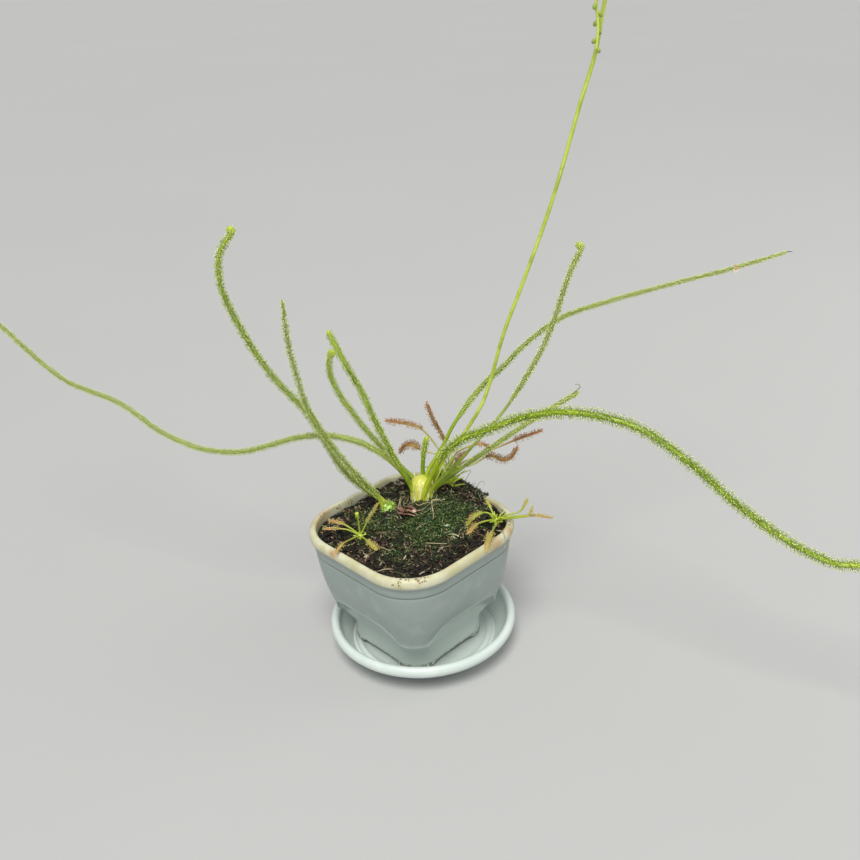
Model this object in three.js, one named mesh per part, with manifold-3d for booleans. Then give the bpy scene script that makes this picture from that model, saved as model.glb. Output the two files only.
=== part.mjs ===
// A thread-leaved sundew in a rounded-square pot on its saucer, with three small spoon-leaved sundews.
// Millimetres, +Z up. The origin is the centre of the saucer's underside, and the pot's sides are
// parallel to X and Y. Tentacles are raised from the leaves' own surfaces.
import * as THREE from 'three';
import { mergeVertices } from 'three/addons/utils/BufferGeometryUtils.js';
import Module from 'manifold-3d';

const wasm = await Module();
wasm.setup();

// ---------------------------------------------------------------- driving dimensions

const GAP = 0.3; // clearance between neighbouring pieces

const SAUCER = {
  segments: 40,
  floorTop: 3,
  lipCentre: [44.8, 13], // radius and height of the rolled lip's centre
  lipHalfWidth: 2.25,
  lipHalfHeight: 2.9,
  rings: [32.8, 35.6], // radii of the two low rings on the floor
  ringHeight: 0.5,
};

const POT = {
  centre: [-1.5, -2.6],
  rimTop: 69.8,
  wall: 1.9,
  grooveTop: 58.8,
  footTop: { corner: 14, side: 19.5 },
  edge: { corner: 23.7, side: 34.4 }, // height of the body's lower edge
  tongueFrom: 6.5, // distance round the body from a corner where the tongue's flank starts
  tongueTo: 12.5,
  footHalf: 25.8,
  footCorner: 11.5,
  notchHeight: 2,
  notchHalfLength: 12.5,
  baseUnder: 6,
  floorTop: 7.6,
  drainRadius: 3,
  drainSpacing: 13,
};

// height, half side and corner radius of the body's section, from the lowest tongue to the groove
const BODY = [
  [23.7, 32.1, 14],
  [31, 34.6, 15.5],
  [37, 37.2, 20.5],
  [45, 39.4, 23.5],
  [57.8, 40.7, 23.7],
];

// height and half side of the groove, the band and the rolled rim, from below upwards
const RIM_OUTSIDE = [
  [57.8, 40.7],
  [58.3, 40.1],
  [58.8, 40.9],
  [63.2, 41.0],
  [64.1, 42.0],
  [66.0, 42.6],
  [68.0, 42.4],
  [69.4, 41.5],
  [69.8, 40.7],
];
const RIM_INSIDE = [
  [69.4, 39.8],
  [68.2, 39.4],
];
const RIM_CORNER = 0.58; // corner radius over half side, at the rim

const SOIL = {
  level: 65.5,
  mound: 10.5,
  moundCentre: [-8, 24],
  moundSpread: [24, 20],
  edgeLevel: 68.4, // highest level where it meets the pot
  edgeBand: 8,
  lump: 0.4,
  heaps: [ // peat heaped against the crowns: place, height and reach
    { at: [-5.5, 9], height: 4.2, reach: 8 },
    { at: [-19, -2], height: 1.5, reach: 5 },
  ],
};

const CROWN = { centre: [-8.5, 12.5], sides: 14, room: 0.9 }; // room: the soil's clearance round it
const CROWN_PROFILE = [
  [0, 63.5],
  [4.4, 63.5],
  [5.7, 68],
  [5.7, 75],
  [5, 79.5],
  [3.7, 83],
  [2, 85.8],
  [0, 86.8],
];
const SIDE_CROWN = { centre: [-20, -0.6], sides: 12, room: 0.5 };
const SIDE_CROWN_PROFILE = [
  [0, 60.5],
  [2.6, 60.5],
  [3.5, 64],
  [3.7, 68],
  [3.1, 70.4],
  [1.6, 72],
  [0, 72.5],
];

const THREAD = {
  sides: 5,
  pitch: 5.6, // distance between rings of tentacles
  root: 0.9, // length of the ring that each tentacle is raised from
  coilStep: THREE.MathUtils.degToRad(36),
};

const SPOON = { sides: 5, petiole: 0.5, thickness: 0.45, tentacle: 1.3, topSides: [0, 1, 4] };

const COLOURS = {
  plastic: 0xc6d3cc,
  saucer: 0xd2e0d8,
  soil: 0x2b231c,
  crown: 0xd8d98a,
  sideCrown: 0x8cc832,
  leaf: 0x8fae2e,
  stalk: 0xb5d23c,
  redSundew: 0xa8642c,
  greenSundew: 0x98a83a,
};

// Leaves of the main plant. radius is at the foot, at three tenths of the length and at the tip. bare is
// the length with no tentacles. points run from the socket to the tip. coil turns the tip over towards
// its direction.
const VIEW_LEFT = [-0.69, -0.72, 0];
const VIEW_RIGHT = [0.69, 0.72, 0];
const THREAD_LEAVES = [
  {
    name: 'leaf_a', radius: [1.3, 0.95, 0.5], reach: 1.1, bare: 26,
    points: [[-12.2, 10.4, 69], [-13.4, 9.6, 80], [-22, 1.5, 96.5], [-33, -6, 104], [-45, -15, 107],
      [-58, -24, 105], [-70, -32, 100], [-84, -41, 95], [-102, -50.5, 94], [-113, -56.5, 97],
      [-125, -61.5, 101.5], [-146.5, -69.5, 113.5], [-176, -83, 123], [-199.5, -90.5, 137.5],
      [-214, -94.5, 147.5], [-232, -100, 157], [-247, -104, 161]],
  },
  {
    name: 'leaf_b', radius: [1.5, 1.1, 0.8], reach: 1.3, bare: 12, coil: { towards: VIEW_LEFT, radius: 1.6 },
    points: [[-21.2, 0.6, 66], [-22.8, 0.2, 69.6], [-26.6, -1.8, 73.4], [-32, -6, 79], [-37, -12.5, 89], [-43.5, -19, 108],
      [-49, -22.5, 121], [-61, -32, 141], [-70, -40, 166], [-74, -44, 186], [-73.5, -42.5, 201],
      [-70.5, -39.5, 207], [-68.5, -37.5, 210]],
  },
  {
    name: 'leaf_c', radius: [1.2, 0.95, 0.4], reach: 1.3, bare: 12,
    points: [[-19.8, -2.2, 65], [-23.3, -4.9, 77], [-26.9, -10.9, 87], [-31, -17.5, 99.5], [-35, -23.5, 113],
      [-39.5, -29, 129.5], [-41, -31, 142], [-43, -33, 163], [-42.5, -33.5, 183]],
  },
  {
    name: 'leaf_d', radius: [1.5, 1.15, 0.95], reach: 1.1, bare: 24,
    points: [[-9.4, 8.2, 69], [-10.6, 7.6, 80], [-15, 3.5, 93.5], [-18, 0.5, 104], [-24, -4, 123],
      [-27.5, -6, 134], [-31.5, -9.5, 145.5], [-37, -14, 163]],
  },
  {
    name: 'leaf_e', radius: [1.3, 1.05, 0.9], reach: 1, bare: 24, coil: { towards: VIEW_RIGHT, radius: 1.7 },
    points: [[-12.8, 13.4, 69], [-15, 13.6, 80], [-23, 11, 88], [-31, 9, 94], [-44, 5.5, 106.5],
      [-56, 1.5, 124], [-59.5, 1.5, 132], [-58.5, 2, 141.5]],
  },
  {
    name: 'leaf_f', radius: [1.3, 1.05, 0.35], reach: 1.2, bare: 30,
    points: [[-7.5, 13, 71], [-6.9, 14.6, 86], [-3, 22.5, 100], [0, 29, 112], [4, 45, 127], [8, 56, 134.5],
      [11, 66.5, 142], [16, 89, 151], [24, 116, 153.5], [38, 155, 155.5], [52, 192, 157],
      [64.5, 222.5, 160]],
  },
  {
    name: 'leaf_g', radius: [1.2, 0.95, 0.8], reach: 1.1, bare: 40, coil: { towards: VIEW_LEFT, radius: 1.6 },
    points: [[-4.2, 12.5, 69], [-2.6, 13.2, 80], [6, 22, 93], [14, 31, 107], [22, 40, 121], [34, 52, 150],
      [38.5, 56.5, 166], [42.5, 60, 184], [44.5, 62.5, 192], [47, 64.5, 199]],
  },
  {
    name: 'leaf_h', radius: [1.6, 1.4, 1.0], reach: 2, bare: 22,
    points: [[-5.4, 9.4, 68], [-4.4, 8.6, 80], [5, 13, 101], [13.5, 17, 111], [24, 21, 117.5],
      [47.5, 31, 130], [68, 40, 134], [91, 50, 130], [114, 56.5, 117.5], [133, 63.5, 102],
      [157, 70.5, 88.5], [173, 77, 83], [180.5, 81.5, 83], [195, 87, 77], [207, 91, 70]],
  },
  {
    name: 'leaf_i', radius: [1.4, 1.05, 0.7], reach: 1, bare: 22,
    points: [[-5.8, 14.9, 68], [-4.6, 16.3, 77], [2, 24, 85.5], [6, 29, 90], [14, 39, 98.5], [20, 49, 105],
      [29.5, 64, 114.5], [38, 76, 122]],
  },
  {
    name: 'leaf_j', radius: [1.3, 1.25, 0.9], reach: 0.9, bare: 22,
    points: [[-10.4, 13.6, 72], [-9.8, 14.4, 84], [-9, 15, 96], [-7, 16, 106]],
  },
];

// The stalk climbs, arches over and hangs its bud-bearing end back down beside itself.
const STALK = {
  radius: 0.9,
  sides: 5,
  climbStep: 9,
  hangStep: 3,
  points: [[-7.4, 16.6, 69], [-7, 18.2, 79], [-4, 21, 90], [2, 30, 103], [9.5, 38, 121], [11.5, 42.5, 133],
    [15.5, 47.5, 155.5], [21, 56, 181], [27.5, 64.5, 210], [31, 69, 228], [34, 73, 245.5], [36, 76, 258],
    [39, 81, 276], [40, 82.5, 286], [41.5, 83.5, 297], [44, 86, 311], [45, 86.6, 322], [44.6, 84.4, 329],
    [43, 80.8, 331], [41.6, 77.6, 327], [41.2, 76.6, 314], [41.8, 77.3, 296], [42.2, 78.2, 287],
    [41.8, 77.8, 278]],
  buds: 15,
  budSpan: 54, // length of the hanging end that carries buds
  budHalf: [0.85, 1.5], // half width and half length of the largest bud
};

// Spoon-leaved plants. Each leaf is [points from the crown to the tip, share of the length that is blade,
// half width of the blade].
const SPOON_PLANTS = [
  {
    name: 'back_sundew', colour: COLOURS.redSundew, crown: [-5, 28.6, 83.4], crownRadius: 1.9, stemFoot: 70,
    leaves: [
      [[[-5, 28.6, 84], [-10, 25, 97], [-16, 20, 107], [-23, 12, 111], [-27, 8, 112]], 0.42, 2],
      [[[-5, 28.6, 84], [-6, 29, 92], [-8, 25, 105], [-9.4, 22, 111], [-10.4, 20, 121]], 0.3, 1.5],
      [[[-5, 28.6, 84], [-9, 27, 91], [-17, 22, 93], [-21, 19.6, 96], [-25, 18, 95], [-27, 16, 91]], 0.4, 2.2],
      [[[-5, 28.6, 84], [2, 36, 89], [12, 47.5, 95], [19, 55, 99], [27, 62, 103]], 0.34, 1.6],
      [[[-5, 28.6, 84], [3, 36.6, 86], [10, 43, 91], [14, 46, 89], [18, 48.6, 90], [21, 51, 96]], 0.5, 2.1],
      [[[-5, 28.6, 84], [-3, 31, 92], [3, 35, 97], [9, 38.4, 99], [12, 40, 97]], 0.3, 1.3],
      [[[-5, 28.6, 84], [-1.4, 31.6, 90], [2.4, 33.4, 93.6]], 0.55, 2],
    ],
  },
  {
    name: 'left_sundew', colour: COLOURS.greenSundew, crown: [-13.6, -25.2, 67], crownRadius: 1.6, stemFoot: 62,
    leaves: [
      [[[-13.6, -25.2, 67.4], [-13.4, -25.6, 74], [-13.6, -26, 79.4]], 0.32, 1.1],
      [[[-13.6, -25.2, 67.4], [-11.4, -22.4, 74], [-7, -18, 84.6]], 0.55, 1.3],
      [[[-13.6, -25.2, 67.4], [-18, -28, 71.6], [-22, -30, 73.4], [-27, -33, 74]], 0.45, 1.7],
      [[[-13.6, -25.2, 67.4], [-18, -29, 70.6], [-22, -32.6, 71.4], [-26, -37, 71.6]], 0.4, 1.6],
      [[[-13.6, -25.2, 67.4], [-10.6, -33, 70.6], [-8, -41, 72.6], [-6.6, -46.4, 71]], 0.35, 1.4],
      [[[-13.6, -25.2, 67.4], [-8, -27, 68.6], [-4, -27.6, 68.6], [2, -28.4, 67.6]], 0.55, 1.8],
    ],
  },
  {
    name: 'right_sundew', colour: COLOURS.greenSundew, crown: [27.9, 26.2, 68.2], crownRadius: 1.7, stemFoot: 62,
    leaves: [
      [[[27.9, 26.2, 68.6], [28, 24, 72.4], [25.6, 20, 75], [23, 15.6, 73.6], [21.4, 12.4, 69.4]], 0.5, 1.6],
      [[[27.9, 26.2, 68.6], [26.6, 22, 69.8], [24.6, 16, 69.8], [25, 9, 67.8]], 0.45, 1.5],
      [[[27.9, 26.2, 68.6], [34, 19, 71.8], [38, 12, 73], [42, 5, 73.4], [44.6, 0.6, 70.6]], 0.45, 1.4],
      [[[27.9, 26.2, 68.6], [33, 27.6, 71.6], [39, 32, 73], [44, 36.4, 73], [50, 42, 71.6]], 0.4, 1.1],
      [[[27.9, 26.2, 68.6], [32, 29, 71.8], [37, 34, 74], [38, 38, 79.4]], 0.35, 1.1],
      [[[27.9, 26.2, 68.6], [34, 26.6, 71.8], [40, 29.6, 73.6], [44, 32, 75.4], [44.6, 34, 79.6]], 0.3, 1],
      [[[27.9, 26.2, 68.6], [25, 27, 71.4], [19, 29.4, 75.4]], 0.4, 1],
    ],
  },
];

// ---------------------------------------------------------------- solids

const vector = (p) => new THREE.Vector3(...p);
const lerp = THREE.MathUtils.lerp;
const smoothstep = THREE.MathUtils.smoothstep;

function toSolid(geometry) {
  const bare = geometry.clone();
  bare.deleteAttribute('normal');
  bare.deleteAttribute('uv');
  const merged = mergeVertices(bare, 1e-3);
  return new wasm.Manifold(new wasm.Mesh({
    numProp: 3,
    vertProperties: new Float32Array(merged.attributes.position.array),
    triVerts: new Uint32Array(merged.index.array),
  }));
}

function toGeometry(solid) {
  const { vertProperties, triVerts } = solid.getMesh();
  return indexedGeometry(Array.from(vertProperties), Array.from(triVerts));
}

// The solid without the crumbs that cutting leaves.
function largestOf(solid) {
  return solid.decompose().reduce((best, piece) => (piece.volume() > best.volume() ? piece : best));
}

function indexedGeometry(positions, faces) {
  const geometry = new THREE.BufferGeometry();
  geometry.setAttribute('position', new THREE.Float32BufferAttribute(positions, 3));
  geometry.setIndex(faces);
  geometry.computeVertexNormals();
  return geometry;
}

function named(name, geometry, color, roughness = 0.6) {
  const mesh = new THREE.Mesh(geometry, new THREE.MeshStandardMaterial({ color, roughness, metalness: 0 }));
  mesh.name = name;
  return mesh;
}

// Value of a column at a height in a table whose first column is the height.
function atHeight(table, z, column) {
  const above = table.findIndex((row) => row[0] >= z);
  if (above === 0) return table[0][column];
  if (above < 0) return table[table.length - 1][column];
  const [low, high] = [table[above - 1], table[above]];
  return lerp(low[column], high[column], (z - low[0]) / (high[0] - low[0]));
}

// A closed skin over rings of equally many points, each ring turning left seen from the end of the stack.
// raised(ring, side) gives the height of the tentacle that the quad carries, or 0.
function skin(rings, foot, tip, raised = () => 0) {
  const sides = rings[0].length;
  const positions = rings.flat().flatMap((p) => p.toArray());
  const faces = [];
  const add = (point) => positions.push(...point.toArray()) / 3 - 1;
  for (let ring = 0; ring < rings.length - 1; ring++) {
    for (let side = 0; side < sides; side++) {
      const next = (side + 1) % sides;
      const quad = [ring * sides + side, ring * sides + next, (ring + 1) * sides + next, (ring + 1) * sides + side];
      const height = raised(ring, side);
      if (height > 0) {
        const corners = [rings[ring][side], rings[ring][next], rings[ring + 1][next], rings[ring + 1][side]];
        const out = corners[1].clone().sub(corners[3]).cross(corners[2].clone().sub(corners[0])).normalize();
        const root = corners.reduce((sum, p) => sum.add(p), new THREE.Vector3()).divideScalar(4);
        const peak = add(root.addScaledVector(out, height));
        quad.forEach((corner, k) => faces.push(corner, quad[(k + 1) % 4], peak));
      } else {
        faces.push(quad[0], quad[1], quad[2], quad[0], quad[2], quad[3]);
      }
    }
  }
  const last = (rings.length - 1) * sides;
  const footIndex = add(foot);
  const tipIndex = add(tip);
  for (let side = 0; side < sides; side++) {
    const next = (side + 1) % sides;
    faces.push(footIndex, next, side, tipIndex, last + side, last + next);
  }
  return indexedGeometry(positions, faces);
}

// Rings of an elliptical section carried along stations of { point, half: [width, thickness] }. The width
// keeps level where level is true and otherwise turns as little as it can.
function sweep(stations, sides, level) {
  let across = null;
  return stations.map(({ point, half }, i) => {
    const before = stations[Math.max(i - 1, 0)].point;
    const after = stations[Math.min(i + 1, stations.length - 1)].point;
    const along = after.clone().sub(before).normalize();
    if (level || across === null) {
      const upright = Math.abs(along.z) > 0.98 ? new THREE.Vector3(-0.69, -0.72, 0) : new THREE.Vector3(0, 0, -1);
      const wanted = along.clone().cross(upright).normalize();
      across = across === null ? wanted : across.lerp(wanted, 0.5);
    }
    across.addScaledVector(along, -across.dot(along)).normalize();
    const over = along.clone().cross(across);
    return Array.from({ length: sides }, (_, k) => {
      const angle = (2 * Math.PI * (k + 0.5)) / sides;
      return point.clone()
        .addScaledVector(across, half[0] * Math.cos(angle))
        .addScaledVector(over, half[1] * Math.sin(angle));
    });
  });
}

const routeOf = (points) => new THREE.CatmullRomCurve3(points.map(vector), false, 'centripetal');

// ---------------------------------------------------------------- saucer

function saucer() {
  const { floorTop, lipCentre, lipHalfWidth, lipHalfHeight, rings, ringHeight } = SAUCER;
  const [lipRadius, lipHeight] = lipCentre;
  const lip = [-60, -10, 40, 90, 140, 190].map(THREE.MathUtils.degToRad).map((a) =>
    [lipRadius + lipHalfWidth * Math.cos(a), lipHeight + lipHalfHeight * Math.sin(a)]);
  const floorRings = rings.toReversed().flatMap((radius) =>
    [[radius + 0.8, floorTop + 0.05], [radius, floorTop + ringHeight], [radius - 0.8, floorTop]]);
  const profile = [[0, 0], [33.5, 0], [35.4, 0.9], [43.6, 9], ...lip, [40.6, 8.6], [37.8, 4.8],
    ...floorRings, [30, floorTop], [0, floorTop]];
  const turned = new THREE.LatheGeometry(profile.map(([x, y]) => new THREE.Vector2(x, y)), SAUCER.segments);
  return named('saucer', turned.rotateX(Math.PI / 2), COLOURS.saucer, 0.45);
}

// ---------------------------------------------------------------- pot

const CORNER_STEPS = 7;
const SIDE_STEPS = 5;

// Points round a rounded square, each with its distance from the nearest corner's middle and from the
// nearest side's middle, measured round the outline.
function roundedSquare(half, corner) {
  const straight = 2 * (half - corner);
  const points = [];
  for (let quarter = 0; quarter < 4; quarter++) {
    const turn = (quarter * Math.PI) / 2;
    const place = (x, y, fromCorner, fromSide) => {
      points.push({
        x: POT.centre[0] + x * Math.cos(turn) - y * Math.sin(turn),
        y: POT.centre[1] + x * Math.sin(turn) + y * Math.cos(turn),
        fromCorner,
        fromSide,
      });
    };
    for (let i = 0; i < CORNER_STEPS; i++) {
      const angle = ((i / CORNER_STEPS) * Math.PI) / 2;
      const fromCorner = Math.abs(angle - Math.PI / 4) * corner;
      const fromSide = straight / 2 + (corner * Math.PI) / 4 - fromCorner;
      place(half - corner + corner * Math.cos(angle), half - corner + corner * Math.sin(angle), fromCorner, fromSide);
    }
    for (let i = 0; i < SIDE_STEPS; i++) {
      const along = half - corner - (i / SIDE_STEPS) * straight;
      place(along, half, (corner * Math.PI) / 4 + straight / 2 - Math.abs(along), Math.abs(along));
    }
  }
  return points;
}

const outline = roundedSquare(atHeight(BODY, POT.edge.corner, 1), atHeight(BODY, POT.edge.corner, 2));
const tongueShare = outline.map((p) => smoothstep(p.fromCorner, POT.tongueFrom, POT.tongueTo));
const edgeHeights = tongueShare.map((share) => lerp(POT.edge.corner, POT.edge.side, share));
const footTopHeights = tongueShare.map((share) => lerp(POT.footTop.corner, POT.footTop.side, share));

// A ring of the pot whose height, half side and corner radius may change round it.
function potRing(heightAt, halfAt, cornerAt) {
  return outline.map((_, k) => {
    const z = heightAt(k);
    const p = roundedSquare(halfAt(z, k), cornerAt(z, k))[k];
    return new THREE.Vector3(p.x, p.y, z);
  });
}

const rimRing = (inset) => ([z, half]) =>
  potRing(() => z, () => half - inset, () => (half - inset) * RIM_CORNER);

function bodyRing(share, inset, lift = 0) {
  return potRing(
    (k) => lerp(edgeHeights[k] + lift, BODY.at(-1)[0], share),
    (z) => atHeight(BODY, z, 1) - inset,
    (z) => atHeight(BODY, z, 2) - inset,
  );
}

function coveRing(share, inset) {
  return potRing(
    (k) => lerp(edgeHeights[k] - 0.6, footTopHeights[k], share),
    (_, k) => lerp(atHeight(BODY, edgeHeights[k], 1) - 0.9, POT.footHalf - 0.2, share ** 0.8) - inset,
    (_, k) => lerp(atHeight(BODY, edgeHeights[k], 2) - 0.9, POT.footCorner, share) - inset,
  );
}

function footRing(heightAt, inset) {
  return potRing(heightAt, () => POT.footHalf - inset, () => POT.footCorner - inset);
}

// The pot's inner surface from the rim down, set in by an extra gap for what fills the pot. What fills
// it is easier still round the tongues, where the surface twists.
function innerRings(gap) {
  return [
    bodyRing(0.5, POT.wall + gap, 2),
    bodyRing(0, POT.wall + gap * 5, 2),
    footRing((k) => footTopHeights[k] + 1, POT.wall + gap * 5),
    footRing(() => POT.floorTop + gap, POT.wall + gap + 0.2),
  ];
}

function pot() {
  const underside = SAUCER.floorTop + SAUCER.ringHeight + GAP; // the foot stands over the saucer's rings
  const notched = (k) => (roundedSquare(POT.footHalf, POT.footCorner)[k].fromSide < POT.notchHalfLength
    ? underside + POT.notchHeight : underside);
  const outside = [
    footRing(() => POT.baseUnder, POT.wall + 0.1),
    footRing(notched, POT.wall - 0.1),
    footRing(notched, 0),
    coveRing(1, 0),
    coveRing(0.5, 0),
    coveRing(0, 0),
    bodyRing(0, 0),
    bodyRing(0.25, 0),
    bodyRing(0.5, 0),
    bodyRing(0.75, 0),
    ...RIM_OUTSIDE.map(rimRing(0)),
  ];
  const inside = [...RIM_INSIDE.map(rimRing(0)), ...innerRings(0)];
  const middle = (z) => new THREE.Vector3(...POT.centre, z);
  let solid = toSolid(skin([...outside, ...inside], middle(POT.baseUnder), middle(POT.floorTop)));
  const drains = [[0, 0], [1, 1], [-1, 1], [-1, -1], [1, -1]];
  for (const [x, y] of drains) {
    const hole = new THREE.CylinderGeometry(POT.drainRadius, POT.drainRadius, 6, 10).rotateX(Math.PI / 2);
    hole.translate(POT.centre[0] + x * POT.drainSpacing, POT.centre[1] + y * POT.drainSpacing, POT.baseUnder);
    solid = solid.subtract(toSolid(hole));
  }
  return named('pot', toGeometry(solid), COLOURS.plastic, 0.4);
}

// ---------------------------------------------------------------- soil

function soilHeight(x, y, fromWall) {
  const across = (x - SOIL.moundCentre[0]) / SOIL.moundSpread[0];
  const along = (y - SOIL.moundCentre[1]) / SOIL.moundSpread[1];
  let open = SOIL.level + SOIL.mound * Math.exp(-(across ** 2 + along ** 2));
  for (const { at, height, reach } of SOIL.heaps) {
    open += height * Math.exp(-((x - at[0]) ** 2 + (y - at[1]) ** 2) / reach ** 2);
  }
  const lumps = SOIL.lump * (Math.sin(0.83 * x + 0.4) * Math.sin(0.71 * y) + Math.sin(0.37 * x - 0.49 * y));
  return lerp(Math.min(open, SOIL.edgeLevel), open, smoothstep(fromWall, 0, SOIL.edgeBand)) + lumps;
}

function soil(sockets) {
  const half = 38.4;
  const corner = 21.8;
  const shares = [1, 0.92, 0.79, 0.64, 0.48, 0.32, 0.16];
  const top = shares.map((share) => roundedSquare(half * share, corner * share).map((p) =>
    new THREE.Vector3(p.x, p.y, soilHeight(p.x, p.y, half * (1 - share)))));
  const sides = innerRings(GAP).reverse();
  const middle = (z) => new THREE.Vector3(...POT.centre, z);
  const peak = soilHeight(...POT.centre, half);
  let solid = toSolid(skin([...sides, ...top], middle(POT.floorTop + GAP), middle(peak)));
  for (const socket of sockets) solid = solid.subtract(socket);
  return named('soil', toGeometry(solid), COLOURS.soil, 0.95);
}

// ---------------------------------------------------------------- thread leaves

function threadRadius(leaf, share) {
  const [foot, middle, tip] = leaf.radius;
  return share < 0.3 ? lerp(foot, middle, share / 0.3) : lerp(middle, tip, (share - 0.3) / 0.7);
}

// Stations along a leaf: close pairs carry the tentacles, and the coil's follow one another closely.
function threadStations(leaf) {
  const route = routeOf(leaf.points);
  const length = route.getLength();
  const stations = [];
  const put = (distance, hairy) => {
    const share = distance / length;
    const radius = threadRadius(leaf, share);
    stations.push({ point: route.getPointAt(share), half: [radius, radius], hairy });
  };
  const bareSteps = Math.round(leaf.bare / THREAD.pitch);
  for (let i = 0; i < bareSteps; i++) put((leaf.bare * i) / bareSteps, false);
  for (let s = leaf.bare; s < length - THREAD.root - 0.6; s += THREAD.pitch) {
    put(s, true);
    put(s + THREAD.root, false);
  }
  put(length, false);
  if (leaf.coil) {
    const along = route.getTangentAt(1);
    const inward = vector(leaf.coil.towards);
    inward.addScaledVector(along, -inward.dot(along)).normalize();
    const centre = route.getPointAt(1).addScaledVector(inward, leaf.coil.radius);
    for (let step = 1; step <= 8; step++) {
      const angle = step * THREAD.coilStep;
      const arm = leaf.coil.radius * (1 - step * 0.07);
      const radius = leaf.radius[2] * (1 - step * 0.035);
      stations.push({
        point: centre.clone().addScaledVector(inward, -arm * Math.cos(angle)).addScaledVector(along, arm * Math.sin(angle)),
        half: [radius, radius],
        hairy: false,
      });
    }
  }
  return stations;
}

function threadLeaf(leaf) {
  const stations = threadStations(leaf);
  const rings = sweep(stations, THREAD.sides, false);
  const raised = (ring, side) => {
    if (!stations[ring].hairy || (2 * side + ring) % THREAD.sides > 2) return 0;
    return leaf.reach * (0.85 + 0.3 * Math.abs(Math.sin(ring * 1.7 + side * 2.3)));
  };
  const [beforeLast, last] = stations.slice(-2).map((station) => station.point);
  const tip = last.clone().addScaledVector(last.clone().sub(beforeLast).normalize(), stations.at(-1).half[0]);
  return named(leaf.name, skin(rings, stations[0].point, tip, raised), COLOURS.leaf);
}

// The hole that a stem stands in: the stem's own first stations, widened and carried a little deeper.
function socketOf(stations, sides) {
  const wide = stations.map(({ point, half }) => ({ point: point.clone(), half: half.map((h) => h + GAP * 1.3) }));
  const down = wide[0].point.clone().sub(wide[1].point).normalize();
  wide[0].point.addScaledVector(down, GAP);
  return toSolid(skin(sweep(wide, sides, false), wide[0].point, wide.at(-1).point));
}

function leafSocket(leaf) {
  const stations = threadStations(leaf);
  return socketOf(stations.slice(0, stations.findIndex((station) => station.hairy) + 1), THREAD.sides);
}

// ---------------------------------------------------------------- flower stalk

function stalkStations(route) {
  const length = route.getLength();
  const stations = [];
  for (let s = 0; s < length; s += s < length - STALK.budSpan - 8 ? STALK.climbStep : STALK.hangStep) {
    stations.push({ point: route.getPointAt(s / length), half: [STALK.radius, STALK.radius] });
  }
  return stations;
}

function flowerStalk() {
  const route = routeOf(STALK.points);
  const length = route.getLength();
  let solid = toSolid(skin(sweep(stalkStations(route), STALK.sides, false), route.getPoint(0), route.getPoint(1)));
  for (let i = 0; i < STALK.buds; i++) {
    const share = i / (STALK.buds - 1);
    const at = (length - STALK.budSpan * (1 - share) - 0.4) / length;
    const along = route.getTangentAt(at);
    const aside = new THREE.Vector3(0.69, 0.72, 0).applyAxisAngle(along, Math.PI * i + 0.9 * Math.sin(i * 2.1));
    aside.addScaledVector(along, -aside.dot(along)).normalize();
    const size = lerp(1, 0.7, share);
    const [width, height] = STALK.budHalf.map((half) => half * size);
    const lean = along.clone().addScaledVector(aside, 0.8).normalize();
    const bud = new THREE.IcosahedronGeometry(1, 0).scale(width, height, width);
    bud.applyQuaternion(new THREE.Quaternion().setFromUnitVectors(new THREE.Vector3(0, 1, 0), lean));
    bud.translate(...route.getPointAt(at).addScaledVector(aside, STALK.radius + 0.35 * size).toArray());
    solid = solid.add(toSolid(bud));
  }
  return named('flower_stalk', toGeometry(solid), COLOURS.stalk);
}

const stalkSocket = () => socketOf(stalkStations(routeOf(STALK.points)).slice(0, 4), STALK.sides);

// ---------------------------------------------------------------- crowns

function turnedBulb(profile, centre, sides, grow = 0) {
  const points = profile.map(([radius, z]) => new THREE.Vector2(radius > 0 ? radius + grow : 0, z));
  if (grow > 0) points.slice(0, 2).forEach((point) => point.setY(point.y - GAP));
  return new THREE.LatheGeometry(points, sides).rotateX(Math.PI / 2).translate(...centre, 0);
}

function crown(name, profile, { centre, sides }, sockets, colour) {
  let solid = toSolid(turnedBulb(profile, centre, sides));
  for (const socket of sockets) solid = solid.subtract(socket);
  return named(name, toGeometry(largestOf(solid)), colour);
}

// ---------------------------------------------------------------- spoon-leaved sundews

function spoonLeaf([points, bladeShare, bladeHalf], seed) {
  const route = routeOf(points);
  const steps = [0, 0.35, 0.7].map((t) => t * (1 - bladeShare));
  const bladeSteps = [0, 0.2, 0.36, 0.56, 0.72, 0.92];
  const stations = steps.map((share) => ({
    point: route.getPointAt(share), half: [SPOON.petiole, SPOON.thickness], hairy: false,
  }));
  bladeSteps.forEach((t, k) => {
    const round = Math.sin(Math.PI * Math.min(0.9, 0.12 + 0.78 * t)) ** 0.6;
    stations.push({
      point: route.getPointAt(1 - bladeShare * (1 - t)),
      half: [lerp(SPOON.petiole, bladeHalf, round), SPOON.thickness],
      hairy: k % 2 === 1,
    });
  });
  const rings = sweep(stations, SPOON.sides, true);
  const raised = (ring, side) => (stations[ring].hairy && SPOON.topSides.includes(side)
    ? SPOON.tentacle * (0.8 + 0.4 * Math.abs(Math.sin(ring * 2.9 + side + seed))) : 0);
  const tip = stations.at(-1).point.clone();
  tip.addScaledVector(tip.clone().sub(stations.at(-2).point).normalize(), 0.5);
  return skin(rings, stations[0].point, tip, raised);
}

function spoonPlant({ name, colour, crown: heart, crownRadius, stemFoot, leaves }) {
  const stemTop = heart[2];
  const stem = new THREE.CylinderGeometry(crownRadius * 0.8, crownRadius * 0.6, stemTop - stemFoot, 7)
    .rotateX(Math.PI / 2).translate(heart[0], heart[1], (stemTop + stemFoot) / 2);
  const ball = new THREE.IcosahedronGeometry(crownRadius, 0).translate(...heart);
  let solid = toSolid(stem).add(toSolid(ball));
  leaves.forEach((leaf, i) => {
    solid = solid.add(toSolid(spoonLeaf(leaf, i)));
  });
  return named(name, toGeometry(solid), colour);
}

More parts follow.
